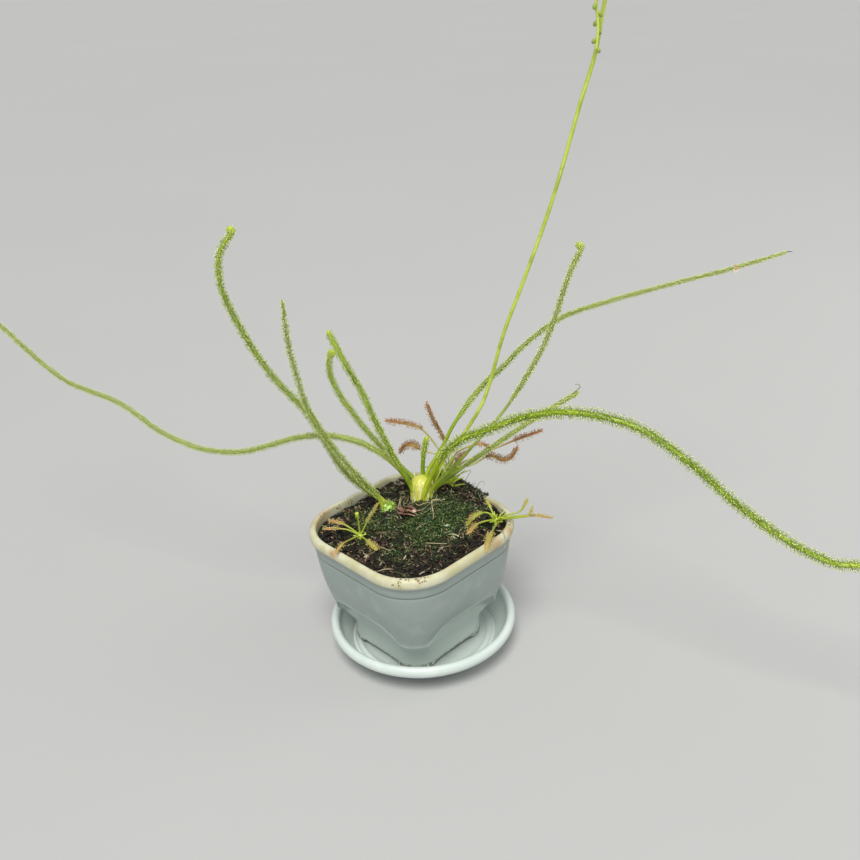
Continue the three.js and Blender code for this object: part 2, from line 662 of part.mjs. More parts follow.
function stemSocket({ crown: heart, crownRadius, stemFoot }) {
  const around = crownRadius + GAP;
  const hole = new THREE.CylinderGeometry(around, around, heart[2] + 3 - stemFoot + GAP, 9);
  return toSolid(hole.rotateX(Math.PI / 2).translate(heart[0], heart[1], (heart[2] + 3 + stemFoot - GAP) / 2));
}

// ---------------------------------------------------------------- assembly

const fromSideCrown = ['leaf_b', 'leaf_c'];
const mainLeaves = THREAD_LEAVES.filter((leaf) => !fromSideCrown.includes(leaf.name));
const sideLeaves = THREAD_LEAVES.filter((leaf) => fromSideCrown.includes(leaf.name));
const mainSockets = [...mainLeaves.map(leafSocket), stalkSocket()];
const sideSockets = sideLeaves.map(leafSocket);
const bulbSockets = [
  toSolid(turnedBulb(CROWN_PROFILE, CROWN.centre, CROWN.sides, CROWN.room)),
  toSolid(turnedBulb(SIDE_CROWN_PROFILE, SIDE_CROWN.centre, SIDE_CROWN.sides, SIDE_CROWN.room)),
];

const sundew = new THREE.Group();
sundew.add(
  saucer(),
  pot(),
  soil([...bulbSockets, ...mainSockets, ...sideSockets, ...SPOON_PLANTS.map(stemSocket)]),
  crown('crown', CROWN_PROFILE, CROWN, mainSockets, COLOURS.crown),
  crown('side_crown', SIDE_CROWN_PROFILE, SIDE_CROWN, sideSockets, COLOURS.sideCrown),
  ...THREAD_LEAVES.map(threadLeaf),
  flowerStalk(),
  ...SPOON_PLANTS.map(spoonPlant),
);

export default sundew;
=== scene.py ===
"""A thread-leaved sundew in a square pot on its saucer, with three small spoon-leaved sundews.

Tables of sizes are in millimetres, and MM turns them into Blender's metres as a mesh is finished.
"""
import logging
import math
from dataclasses import dataclass, field
from enum import Enum
from functools import cache
from typing import Callable, ClassVar, Iterator, NamedTuple, Sequence

import bmesh
import bpy
import numpy as np
from mathutils import Matrix, Vector, noise


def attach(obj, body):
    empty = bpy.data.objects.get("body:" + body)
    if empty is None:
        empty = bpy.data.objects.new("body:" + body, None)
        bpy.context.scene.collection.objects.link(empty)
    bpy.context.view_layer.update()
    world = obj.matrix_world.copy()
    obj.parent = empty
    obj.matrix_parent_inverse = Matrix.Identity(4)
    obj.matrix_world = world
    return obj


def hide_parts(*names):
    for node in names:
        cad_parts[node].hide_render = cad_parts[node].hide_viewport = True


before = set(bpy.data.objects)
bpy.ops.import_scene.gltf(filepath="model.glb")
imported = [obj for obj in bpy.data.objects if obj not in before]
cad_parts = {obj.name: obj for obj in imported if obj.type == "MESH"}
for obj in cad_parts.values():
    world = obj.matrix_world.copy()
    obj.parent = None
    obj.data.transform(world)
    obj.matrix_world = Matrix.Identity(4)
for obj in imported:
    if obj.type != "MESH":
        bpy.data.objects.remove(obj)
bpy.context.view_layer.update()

MM = 0.001
BODY = "root"
NOISE_SEED = 5
UP = Vector((0.0, 0.0, 1.0))
SIDEWAYS = Vector((0.69, 0.72, 0.0))
FULL_TURN = 2 * math.pi
ANY_TURN = 6.3
GOLDEN = 2.4
GOLDEN_FINE = 2.399963
LEAF_SEED = 100
PLANT_SEED = 200

Colour = tuple[float, float, float]
Point = tuple[float, float, float]
Pair = tuple[float, float]
Socket = bpy.types.NodeSocket
Material = bpy.types.Material
Piece = bpy.types.Object
Mesh = bpy.types.Mesh
Shape = bmesh.types.BMesh
Edge = bmesh.types.BMEdge
Vert = bmesh.types.BMVert
Swell = Callable[[float, float], float]
log = logging.getLogger("sundew")


# ---- node boards


class Board:
    """Adds and joins the nodes of one material or node group."""

    def __init__(self, tree: bpy.types.NodeTree) -> None:
        """Starts on a tree."""
        self.tree = tree

    def add(self, kind: str, inputs: dict | None = None, **settings: object) -> bpy.types.Node:
        """Adds a shader node.

        Args:
            kind: The node's type after "ShaderNode".
            inputs: Values or sockets by input name or number.
            **settings: The node's own properties.

        Returns:
            The new node.
        """
        node = self.tree.nodes.new("ShaderNode" + kind)
        for name, value in settings.items():
            setattr(node, name, value)
        self.feed(node, inputs or {})
        return node

    def feed(self, node: bpy.types.Node, inputs: dict) -> None:
        """Links or sets a node's inputs.

        Args:
            node: The node.
            inputs: Values or sockets by input name or number.
        """
        for name, value in inputs.items():
            socket = node.inputs[name]
            if isinstance(value, Socket):
                self.tree.links.new(value, socket)
            elif isinstance(value, tuple) and len(value) == 3 and socket.type == "RGBA":
                socket.default_value = (*value, 1.0)
            else:
                socket.default_value = value

    def math(self, operation: str, *values: object, clamp: bool = False) -> Socket:
        """Puts values through a Math node and returns its output."""
        return self.add("Math", dict(enumerate(values)), operation=operation, use_clamp=clamp).outputs[0]

    def times(self, first: object, second: object) -> Socket:
        """Returns the product of two values."""
        return self.math("MULTIPLY", first, second)

    def plus(self, first: object, second: object) -> Socket:
        """Returns the sum of two values."""
        return self.math("ADD", first, second)

    def apart(self, first: object, second: object) -> Socket:
        """Returns how far apart two values are."""
        return self.math("ABSOLUTE", self.math("SUBTRACT", first, second))

    def vector(self, operation: str, first: object, second: Point = (0.0, 0.0, 0.0), output: str = "Vector") -> Socket:
        """Puts two vectors through a Vector Math node and returns an output."""
        return self.add("VectorMath", {0: first, 1: second}, operation=operation).outputs[output]

    def mix(self, share: object, first: object, second: object) -> Socket:
        """Mixes two colours and returns the result's socket."""
        return self.add("Mix", {0: share, 6: first, 7: second}, data_type="RGBA").outputs[2]

    def noise(self, vector: object, scale: object, detail: float = 4.0, rough: float | None = 0.55) -> Socket:
        """Returns the value of a noise texture on a vector; without rough it keeps the node's own."""
        inputs = {"Vector": vector, "Scale": scale, "Detail": detail}
        return self.add("TexNoise", inputs if rough is None else {**inputs, "Roughness": rough}).outputs[0]

    def stretched(self, vector: object, scale: Point) -> Socket:
        """Returns a vector scaled by axis."""
        return self.add("Mapping", {"Vector": vector, "Scale": scale}).outputs[0]

    def band(self, value: object, low: float, high: float, to: Pair = (0.0, 1.0)) -> Socket:
        """Maps a range of a value smoothly onto another and returns it."""
        inputs = {"Value": value, "From Min": low, "From Max": high, "To Min": to[0], "To Max": to[1]}
        return self.add("MapRange", inputs, interpolation_type="SMOOTHSTEP").outputs[0]

    def ramp(self, value: object, stops: Sequence[tuple[float, Colour]]) -> Socket:
        """Puts a value through a colour ramp.

        Args:
            value: A socket or a number.
            stops: Places from 0 to 1, and their colours.

        Returns:
            The colour's socket.
        """
        node = self.add("ValToRGB", {0: value})
        elements = node.color_ramp.elements
        while len(elements) < len(stops):
            elements.new(1.0)
        for element, (place, colour) in zip(elements, stops):
            element.position, element.color = place, (*colour, 1.0)
        return node.outputs[0]

    def bump(self, height: object, strength: float, distance: float, **normal: Socket) -> Socket:
        """Returns the normal of a Bump node, laid over another Normal if one is given."""
        return self.add("Bump", {"Height": height, "Strength": strength, "Distance": distance, **normal}).outputs[0]

    def attribute(self, name: str, output: str = "Fac") -> Socket:
        """Returns a mesh attribute's value, or another of its outputs."""
        return self.add("Attribute", attribute_name=name).outputs[output]

    def place(self) -> Socket:
        """Returns the Object coordinates."""
        return self.add("TexCoord").outputs["Object"]

    def group(self, tree: bpy.types.NodeTree, **inputs: object) -> Socket:
        """Places a node group.

        Args:
            tree: The group.
            **inputs: Values or sockets by input name.

        Returns:
            Its first output.
        """
        node = self.add("Group", node_tree=tree)
        self.feed(node, inputs)
        return node.outputs[0]


class Effects:
    """The node groups that several finishes share, each made once."""

    def __init__(self) -> None:
        """Builds the groups."""
        self.mottle = self._mottle()
        self.specks = self._specks()

    @staticmethod
    def _new(name: str, output: str, inputs: dict[str, object]) -> tuple[Board, list[Socket], bpy.types.Node]:
        """Makes an empty node group.

        Args:
            name: The group's name.
            output: Name and socket type of its output.
            inputs: Socket type, or a default number, by input name.

        Returns:
            Its board, the sockets of what it is given, and its output node.
        """
        tree = bpy.data.node_groups.new(name, "ShaderNodeTree")
        for key, given in inputs.items():
            kind = given if isinstance(given, str) else "Float"
            socket = tree.interface.new_socket(name=key, in_out="INPUT", socket_type="NodeSocket" + kind)
            if given is not kind:
                socket.default_value = given
        key, kind = output.split()
        tree.interface.new_socket(name=key, in_out="OUTPUT", socket_type="NodeSocket" + kind)
        return Board(tree), list(tree.nodes.new("NodeGroupInput").outputs), tree.nodes.new("NodeGroupOutput")

    def _mottle(self) -> bpy.types.NodeTree:
        """Makes the group that mixes three colours in soft patches.

        Returns:
            The group.
        """
        board, (vector, scale, first, second, third, _), out = self._new(
            "mottle", "Colour Color",
            {"Vector": "Vector", "Scale": 100.0, "First": "Color", "Second": "Color", "Third": "Color"})
        broad = board.noise(vector, scale, 3.0, None)
        fine = board.noise(vector, board.times(scale, 4.3), 4.0, None)
        base = board.mix(board.band(broad, 0.35, 0.65), first, second)
        board.feed(out, {0: board.mix(board.band(fine, 0.5, 0.72), base, third)})
        return board.tree

    def _specks(self) -> bpy.types.NodeTree:
        """Makes the group that gives a mask of uneven specks.

        Returns:
            The group.
        """
        board, (vector, scale, cover, _), out = self._new(
            "specks", "Mask Float", {"Vector": "Vector", "Scale": 400.0, "Cover": 0.3})
        wobble = board.noise(vector, scale, 2.0, None)
        cells = board.add("TexVoronoi", {"Vector": vector, "Scale": scale}).outputs["Distance"]
        patches = board.noise(vector, board.times(scale, 0.13), 2.0, None)
        size = board.times(board.band(patches, 0.4, 0.7), cover)
        gap = board.math("SUBTRACT", board.plus(size, 0.1), board.plus(cells, board.times(wobble, 0.25)))
        board.feed(out, {0: board.math("MULTIPLY", gap, 9.0, clamp=True)})
        return board.tree


EFFECTS = Effects()


# ---- finishes


class Finish:
    """What the finishes share: each makes its material once, round one Principled shader."""

    name: str
    SETTINGS: ClassVar[dict[str, float]] = {}

    @cache
    def material(self) -> Material:
        """Makes the material; asked again, it returns the same one.

        Returns:
            The material.
        """
        made = bpy.data.materials.new(self.name)
        made.use_nodes = True
        board = Board(made.node_tree)
        shader = next(n for n in made.node_tree.nodes if n.type == "BSDF_PRINCIPLED")
        board.feed(shader, self.SETTINGS)
        board.feed(shader, dict(zip(("Base Color", "Roughness", "Normal"), self.lay(board))))
        return made

    def lay(self, board: Board) -> Iterator[Socket]:
        """Yields the sockets for colour, roughness and normal, in this order; the normal may be left out."""
        raise NotImplementedError


@dataclass(frozen=True)
class Plain(Finish):
    """A plain finish: the material of this name that is already loaded."""

    name: str

    def material(self) -> Material:
        """Returns the frame's material."""
        return bpy.data.materials[self.name]


@dataclass(frozen=True)
class PotPlastic(Finish):
    """Moulded mint-white plastic whose rim has gone cream and picked up peat."""

    SETTINGS: ClassVar = {"Metallic": 0.0, "IOR": 1.48, "Coat Weight": 0.15}
    name: str = "pot_plastic"
    plain: Colour = (0.275, 0.325, 0.30)
    shade: Colour = (0.25, 0.305, 0.28)
    bright: Colour = (0.30, 0.345, 0.32)
    cream: Colour = (0.5, 0.47, 0.27)
    lime: Colour = (0.6, 0.59, 0.43)
    peat: Colour = (0.17, 0.10, 0.045)
    # Dark grey-green painted into the groove under the rim: painted shade.
    groove_shade: Colour = (0.09, 0.10, 0.085)
    # Near-black green laid in patches on the foot's bottom edge: dirt together with painted shade of the notch gap
    # under the foot.
    dark_grime_and_shade: Colour = (0.035, 0.05, 0.03)
    # Lighter colour of the set-in foot, placed by foot_square, foot_round and foot_under: painted light on the foot in
    # the body's shadow.
    foot: Colour = (0.49, 0.555, 0.52)
    rust: Colour = (0.42, 0.22, 0.07)
    centre: Point = (-0.0015, -0.0026, 0.0)
    rim_from: float = 64.0
    rim_to: float = 66.6
    groove: float = 58.3
    foot_square: float = 0.018
    foot_round: Pair = (13.2, 10.5)
    foot_under: Pair = (30.0, 24.0)
    inside: Pair = (40.6, 39.6)
    # Heights over which the foot's dirt and painted gap shade fade out upwards.
    foot_grime_and_shade: Pair = (7.6, 5.2)
    stains: tuple[tuple[float, float, float, float], ...] = (
        (-36.4, -25.0, 69.0, 9.0), (-35.0, -33.0, 68.5, 6.0), (40.2, 12.0, 67.5, 6.0), (-11.0, -45.0, 68.0, 4.0),
        (39.0, 24.0, 69.0, 5.0))

    def lay(self, board: Board) -> Iterator[Socket]:
        """Lays the plastic, its cream rim, stains, peat and dirt, with painted shade in the groove and along the foot's
        bottom edge, and painted light on the set-in foot.

        Args:
            board: The material's board.

        Yields:
            The sockets for colour, roughness and normal.
        """

        def level(value: Socket, low_high: Pair) -> Socket:
            """Returns a smooth step between two lengths in millimetres."""
            return board.band(value, low_high[0] * MM, low_high[1] * MM)

        place = board.place()
        height = board.add("SeparateXYZ", {0: place}).outputs[2]
        body = board.group(
            EFFECTS.mottle, Vector=place, Scale=26.0, First=self.plain, Second=self.shade, Third=self.bright)
        rim = level(height, (self.rim_from, self.rim_to))
        patch = board.noise(place, 90.0, 5.0, 0.6)
        cream = board.mix(board.band(patch, 0.35, 0.65), self.cream, self.lime)
        middle = board.vector("ADD", place, tuple(-v for v in self.centre))
        past = board.vector("SUBTRACT", board.vector("ABSOLUTE", middle), (self.foot_square, self.foot_square, 0.0))
        past = board.vector("MULTIPLY", board.vector("MAXIMUM", past), (1.0, 1.0, 0.0))
        out = board.vector("LENGTH", past, output="Value")
        # The set-in foot is painted lighter than the body: painted light.
        foot_painted_light = board.times(level(out, self.foot_round), level(height, self.foot_under))
        wear_and_light = board.mix(foot_painted_light, body, self.foot)
        wear_and_light = board.mix(board.times(rim, board.band(patch, 0.0, 0.35)), wear_and_light, cream)
        # The groove under the rim is painted dark grey-green: painted shade in the groove.
        groove_shade = board.times(level(board.apart(height, self.groove * MM), (0.6, 0.15)), 0.62)
        wear_and_light = board.mix(groove_shade, wear_and_light, self.groove_shade)
        wear_and_light = board.mix(self._stained(board, place, patch), wear_and_light, self.rust)
        sides = board.add("SeparateXYZ", {0: middle}).outputs
        widest = board.math("MAXIMUM", board.math("ABSOLUTE", sides[0]), board.math("ABSOLUTE", sides[1]))
        within = board.times(level(widest, self.inside), rim)
        under_lip = level(board.apart(height, (self.rim_from + 0.9) * MM), (1.5, 0.3))
        cover = board.plus(board.plus(board.times(within, 0.5), board.times(under_lip, 0.1)), 0.12)
        specks = board.group(EFFECTS.specks, Vector=place, Scale=760.0, Cover=cover)
        # Patchy darkening along the foot's bottom edge: dirt together with painted shade of the notch gap under the
        # foot.
        foot = level(height, self.foot_grime_and_shade)
        grime_and_gap_shade = board.times(foot, board.band(board.noise(place, 500.0, 4.0, 0.7), 0.42, 0.6))
        dirt_and_gap_shade = board.math("MAXIMUM", board.times(specks, rim), grime_and_gap_shade)
        colour = board.mix(board.times(dirt_and_gap_shade, 0.8), wear_and_light, self.peat)
        yield board.mix(board.times(grime_and_gap_shade, 0.7), colour, self.dark_grime_and_shade)
        grain = board.noise(place, 900.0, 3.0)
        yield board.plus(board.plus(board.times(grain, 0.14), board.times(rim, 0.2)), 0.3)
        normal = board.bump(board.noise(place, 60.0, 2.0), 0.25, 0.0006)
        normal = board.bump(grain, 0.12, 0.00012, Normal=normal)
        yield board.bump(board.plus(board.times(dirt_and_gap_shade, 0.6), board.times(patch, 0.4)), 0.5, 0.0003, Normal=normal)

    def _stained(self, board: Board, place: Socket, patch: Socket) -> Socket:
        """Makes a mask of the rusty stains on the rim.

        Args:
            board: The material's board.
            place: The Object coordinates.
            patch: The noise that breaks the stains up.

        Returns:
            The mask's socket.
        """
        mask = None
        for *middle, reach in self.stains:
            away = board.vector("DISTANCE", place, tuple(v * MM for v in middle), "Value")
            stain = board.band(away, reach * MM, 0.0)
            mask = stain if mask is None else board.math("MAXIMUM", mask, stain)
        return board.times(mask, board.band(patch, 0.3, 0.62, (0.25, 0.9)))


@dataclass(frozen=True)
class SaucerPlastic(Finish):
    """The saucer's paler plastic, with peat washed into its floor."""

    SETTINGS: ClassVar = {"Metallic": 0.0, "IOR": 1.48, "Coat Weight": 0.2}
    name: str = "saucer_plastic"
    plain: Colour = (0.6, 0.67, 0.63)
    shade: Colour = (0.56, 0.635, 0.595)
    bright: Colour = (0.63, 0.69, 0.655)
    peat: Colour = (0.14, 0.12, 0.08)
    wash: Point = (-0.0135, -0.0285, 0.0035)
    wash_reach: Pair = (0.011, 0.002)
    floor: Pair = (0.006, 0.0042)

    def lay(self, board: Board) -> Iterator[Socket]:
        """Lays the plastic and the peat on its floor.

        Args:
            board: The material's board.

        Yields:
            The sockets for colour, roughness and normal.
        """
        place = board.place()
        body = board.group(
            EFFECTS.mottle, Vector=place, Scale=30.0, First=self.plain, Second=self.shade, Third=self.bright)
        low = board.band(board.add("SeparateXYZ", {0: place}).outputs[2], *self.floor)
        near = board.vector("DISTANCE", place, self.wash, "Value")
        washed = board.times(board.band(near, *self.wash_reach), low)
        specks = board.group(EFFECTS.specks, Vector=place, Scale=700.0, Cover=0.55)
        dirt = board.math("MULTIPLY", specks, board.plus(washed, board.times(low, 0.12)), clamp=True)
        yield board.mix(dirt, body, self.peat)
        grain = board.noise(place, 900.0, 3.0)
        yield board.plus(board.times(grain, 0.16), 0.26)
        normal = board.bump(board.noise(place, 50.0, 2.0), 0.2, 0.0005)
        yield board.bump(board.plus(grain, dirt), 0.15, 0.00015, Normal=normal)


@dataclass(frozen=True)
class Peat(Finish):
    """Damp peat, from near black to straw; its crumbs take their shade from the "shade" attribute."""

    SETTINGS: ClassVar = {"Specular IOR Level": 0.42}
    name: str = "peat"
    stops: tuple[tuple[float, Colour], ...] = (
        (0.0, (0.004, 0.003, 0.002)),
        (0.36, (0.018, 0.011, 0.006)),
        (0.56, (0.085, 0.04, 0.022)),
        (0.76, (0.3, 0.2, 0.11)),
        (1.0, (0.85, 0.76, 0.52)),
    )
    green: Colour = (0.03, 0.06, 0.014)
    scattered: bool = False
    roughness: float = 0.6

    def lay(self, board: Board) -> Iterator[Socket]:
        """Lays the peat and the moss that stains it.

        Args:
            board: The material's board.

        Yields:
            The sockets for colour, roughness and normal.
        """
        place = board.place()
        fine = board.noise(place, 1500.0, 4.0, 0.7)
        shade = board.band(board.times(fine, board.noise(place, 120.0, 4.0, 0.6)), 0.1, 0.5)
        given = board.attribute("shade")
        # On the bed the "shade" attribute is the clod value, and crumbs and fibres carry it too, so the peat is painted
        # darker in the gaps between clods: painted shade.
        if self.scattered:
            shade = board.plus(board.times(shade, 0.25), board.times(given, 0.9))
        else:
            shade = board.times(shade, given)
        mossy = board.times(board.attribute("green"), board.band(fine, 0.3, 0.6, (0.55, 0.95)))
        yield board.mix(mossy, board.ramp(shade, self.stops), self.green)
        yield board.band(board.noise(place, 300.0), 0.3, 0.7, (self.roughness - 0.3, self.roughness + 0.3))
        yield board.bump(fine, 0.9, 0.0005)


@dataclass(frozen=True)
class Moss(Finish):
    """Moss leaves, dark at the foot and pale at the tip; they read "rise", from foot to tip, and "shade"."""

    SETTINGS: ClassVar = {"IOR": 1.4, "Specular IOR Level": 0.4}
    name: str = "moss"
    foot: Colour = (0.006, 0.014, 0.003)
    middle: Colour = (0.03, 0.075, 0.01)
    tip: Colour = (0.40, 0.54, 0.16)
    cool: Colour = (0.26, 0.42, 0.27)
    dry: Colour = (0.56, 0.5, 0.24)

    def lay(self, board: Board) -> Iterator[Socket]:
        """Lays the moss.

        Args:
            board: The material's board.

        Yields:
            The sockets for colour and roughness.
        """
        rise, shade = board.attribute("rise"), board.attribute("shade")
        colour = board.mix(board.band(rise, 0.0, 0.6), self.foot, self.middle)
        pale = board.mix(board.band(board.noise(board.place(), 130.0, 3.0), 0.48, 0.6), self.tip, self.cool)
        pale = board.mix(board.band(shade, 0.75, 0.95), pale, self.dry)
        yield board.mix(board.times(board.band(rise, 0.35, 0.9), board.band(shade, 0.45, 0.75)), colour, pale)
        yield board.band(shade, 0.0, 1.0, (0.4, 0.75))


@dataclass(frozen=True)
class Tissue(Finish):
    """Living plant skin: streaked along its length, paler at the foot and brighter at the tip.

    It reads "laid", the stem laid straight, "along", from 0 to 1, and "tone", the share of the odd colour.
    """

    SETTINGS: ClassVar = {"IOR": 1.42, "Subsurface Weight": 0.12, "Subsurface Scale": 0.001, "Coat Weight": 0.12}
    name: str
    foot: Colour
    plain: Colour
    streak: Colour
    shade: Colour
    tip: Colour
    odd: Colour = (0.3, 0.12, 0.03)
    foot_to: float = 0.12
    tip_from: float = 0.75
    roughness: float = 0.36
    relief: float = 0.4

    def lay(self, board: Board) -> Iterator[Socket]:
        """Lays the streaks, patches and ends.

        Args:
            board: The material's board.

        Yields:
            The sockets for colour, roughness and normal.
        """
        laid, along = board.attribute("laid", "Vector"), board.attribute("along")
        streaks = board.noise(board.stretched(laid, (1.0, 1.0, 0.06)), 1500.0, 3.0, 0.6)
        patches = board.noise(board.place(), 170.0, 4.0, 0.6)
        colour = board.mix(board.band(streaks, 0.4, 0.66), self.plain, self.streak)
        for mask, share, laid_on in (
                (board.band(patches, 0.42, 0.7), 0.8, self.shade),
                (board.band(along, self.tip_from, 1.0), 0.85, self.tip),
                (board.band(along, self.foot_to, 0.0), 0.9, self.foot)):
            colour = board.mix(board.times(mask, share), colour, laid_on)
        odd = board.times(board.attribute("tone"), board.band(patches, 0.3, 0.6, (0.8, 1.0)))
        yield board.mix(odd, colour, self.odd)
        yield board.band(patches, 0.3, 0.7, (self.roughness - 0.08, self.roughness + 0.12))
        cells = board.noise(board.stretched(laid, (1.0, 1.0, 0.35)), 4200.0, 2.0)
        yield board.bump(cells, self.relief * 0.5, 0.00008, Normal=board.bump(streaks, self.relief, 0.0002))


@dataclass(frozen=True)
class TentacleStalk(Finish):
    """The tentacles' fine stalks, which redden towards the gland; "rise" goes from the leaf to the gland."""

    SETTINGS: ClassVar = {"IOR": 1.4, "Coat Weight": 0.2}
    name: str
    foot: Colour
    head: Colour
    odd: Colour

    def lay(self, board: Board) -> Iterator[Socket]:
        """Lays the finish.

        Args:
            board: The material's board.

        Yields:
            The sockets for colour and roughness.
        """
        shade = board.attribute("shade")
        colour = board.mix(board.band(board.attribute("rise"), 0.1, 1.0), self.foot, self.head)
        yield board.mix(board.times(board.band(shade, 0.55, 1.0), 0.7), colour, self.odd)
        yield board.band(shade, 0.0, 1.0, (0.25, 0.5))


@dataclass(frozen=True)
class Dew(Finish):
    """Sticky beads on the glands."""

    SETTINGS: ClassVar = {"IOR": 1.36, "Coat Weight": 0.9, "Coat Roughness": 0.03, "Specular IOR Level": 0.8}
    name: str
    clear: Colour
    tinted: Colour

    def lay(self, board: Board) -> Iterator[Socket]:
        """Lays the finish.

        Args:
            board: The material's board.

        Yields:
            The sockets for colour and roughness.
        """
        shade = board.attribute("shade")
        yield board.mix(board.band(shade, 0.2, 0.9), self.clear, self.tinted)
        yield board.band(shade, 0.0, 1.0, (0.04, 0.16))


# ---- palette


LEAF_SKIN = Tissue(
    "leaf_tissue", (0.46, 0.54, 0.025), (0.18, 0.28, 0.006), (0.34, 0.46, 0.016), (0.075, 0.14, 0.004),
    (0.46, 0.6, 0.02), odd=(0.34, 0.4, 0.13), foot_to=0.18)
CROWN_SKIN = Tissue(
    "crown_tissue", (0.4, 0.36, 0.08), (0.62, 0.6, 0.09), (0.78, 0.74, 0.26), (0.4, 0.42, 0.05), (0.48, 0.52, 0.06))
YOUNG_SKIN = Tissue(
    "young_tissue", (0.02, 0.045, 0.006), (0.12, 0.23, 0.007), (0.25, 0.36, 0.025), (0.05, 0.12, 0.005),
    (0.24, 0.35, 0.025), foot_to=0.45, roughness=0.55)
STALK_SKIN = Tissue(
    "stalk_tissue", (0.42, 0.5, 0.04), (0.42, 0.52, 0.05), (0.58, 0.66, 0.12), (0.28, 0.38, 0.03), (0.58, 0.68, 0.12))
BUD_SKIN = Tissue(
    "bud_tissue", (0.24, 0.34, 0.04), (0.38, 0.48, 0.1), (0.52, 0.6, 0.2), (0.24, 0.34, 0.05), (0.54, 0.62, 0.22))
HEART_SKIN = Tissue(
    "heart_tissue", (0.36, 0.4, 0.06), (0.42, 0.53, 0.03), (0.56, 0.64, 0.08), (0.26, 0.38, 0.015), (0.56, 0.64, 0.1),
    foot_to=0.3)
HAIRS = (
    TentacleStalk("tentacle_green", (0.2, 0.31, 0.008), (0.38, 0.48, 0.03), (0.3, 0.32, 0.05)),
    Dew("dew_pale", (0.72, 0.78, 0.3), (0.4, 0.5, 0.08)))
SPOON_FINISHES = {
    "red_leaf_tissue": (
        Tissue(
            "red_leaf_tissue", (0.56, 0.6, 0.3), (0.46, 0.42, 0.09), (0.6, 0.52, 0.2), (0.42, 0.28, 0.07),
            (0.46, 0.26, 0.06), odd=(0.36, 0.13, 0.05), foot_to=0.6, tip_from=0.5),
        TentacleStalk("tentacle_red", (0.4, 0.28, 0.06), (0.24, 0.06, 0.025), (0.4, 0.24, 0.06)),
        Dew("dew_amber", (0.55, 0.32, 0.14), (0.3, 0.09, 0.035))),
    "pale_leaf_tissue": (
        Tissue(
            "pale_leaf_tissue", (0.38, 0.48, 0.05), (0.32, 0.4, 0.03), (0.46, 0.52, 0.08), (0.2, 0.28, 0.02),
            (0.42, 0.4, 0.05), odd=(0.46, 0.2, 0.1), foot_to=0.4, tip_from=0.6),
        TentacleStalk("tentacle_tan", (0.46, 0.46, 0.08), (0.45, 0.26, 0.06), (0.45, 0.3, 0.08)),
        Dew("dew_honey", (0.66, 0.6, 0.24), (0.52, 0.32, 0.1)))}


# ---- mesh tools


def lerp(low: float, high: float, share: float) -> float:
    """Returns the value between two at a share."""
    return low + (high - low) * share


def smoothstep(value: float, low: float, high: float) -> float:
    """Returns 0 at low and 1 at high, with a smooth rise between."""
    share = min(1.0, max(0.0, (value - low) / (high - low)))
    return share * share * (3.0 - 2.0 * share)


def at_height(table: Sequence[Sequence[float]], z: float, column: int) -> float:
    """Returns a column's value at a height in a table whose first column is the height."""
    return float(np.interp(z, [row[0] for row in table], [row[column] for row in table]))


def hill(x: float, y: float, centre: Pair, reach: float) -> float:
    """Returns the height at a place of a round hill that is 1 high."""
    return math.exp(-((x - centre[0]) ** 2 + (y - centre[1]) ** 2) / reach**2)


def turn_to(direction: Vector) -> Matrix:
    """Returns the turn that points the third axis along a direction."""
    return UP.rotation_difference(direction).to_matrix().to_4x4()


def add_ball(bm: Shape, place: Matrix, half: Sequence[float]) -> list[Vert]:
    """Adds a ball of the given half sizes, turned and placed by a matrix, and returns its vertices."""
    matrix = place @ Matrix.Diagonal((*half, 1))
    return bmesh.ops.create_icosphere(bm, subdivisions=3, radius=1.0, matrix=matrix)["verts"]


def new_skin() -> Shape:
    """Makes an empty bmesh with the layers that tissues read.

    Returns:
        The bmesh.
    """
    bm = bmesh.new()
    bm.verts.layers.float_vector.new("laid")
    bm.verts.layers.float.new("along")
    return bm


def extrude(bm: Shape, edges: Sequence[Edge]) -> tuple[list[Edge], list[Vert]]:
    """Extrudes a ring of edges.

    Args:
        bm: The bmesh.
        edges: The ring's edges.

    Returns:
        The new ring's edges and vertices.
    """
    made = bmesh.ops.extrude_edge_only(bm, edges=edges)["geom"]
    verts = [v for v in made if isinstance(v, Vert)]
    fresh = set(verts)
    return [e for e in made if isinstance(e, Edge) and set(e.verts) <= fresh], verts


def settle(bm: Shape) -> None:
    """Turns the faces outwards, and sorts what an extrude leaves in a different order each run.

    Args:
        bm: The shape.
    """
    bm.verts.index_update()
    for items in (bm.edges, bm.faces):
        for index, item in enumerate(sorted(items, key=lambda item: sorted(v.index for v in item.verts))):
            item.index = index
        items.sort()
    bmesh.ops.recalc_face_normals(bm, faces=bm.faces)
    bm.verts.ensure_lookup_table()


def to_mesh(bm: Shape, name: str, scale: float = MM) -> Mesh:
    """Turns a bmesh into a mesh, scaled, and frees it.

    Args:
        bm: The shape.
        name: The mesh's name.
        scale: From the bmesh's lengths to the mesh's.

    Returns:
        The mesh.
    """
    bmesh.ops.scale(bm, vec=(scale,) * 3, verts=bm.verts)
    mesh = bpy.data.meshes.new(name)
    bm.to_mesh(mesh)
    bm.free()
    return mesh


def put_in_scene(name: str, data: bpy.types.ID) -> Piece:
    """Puts a new object in the scene.

    Args:
        name: Its name.
        data: Its mesh, light or camera.

    Returns:
        The object.
    """
    piece = bpy.data.objects.new(name, data)
    bpy.context.scene.collection.objects.link(piece)
    return piece


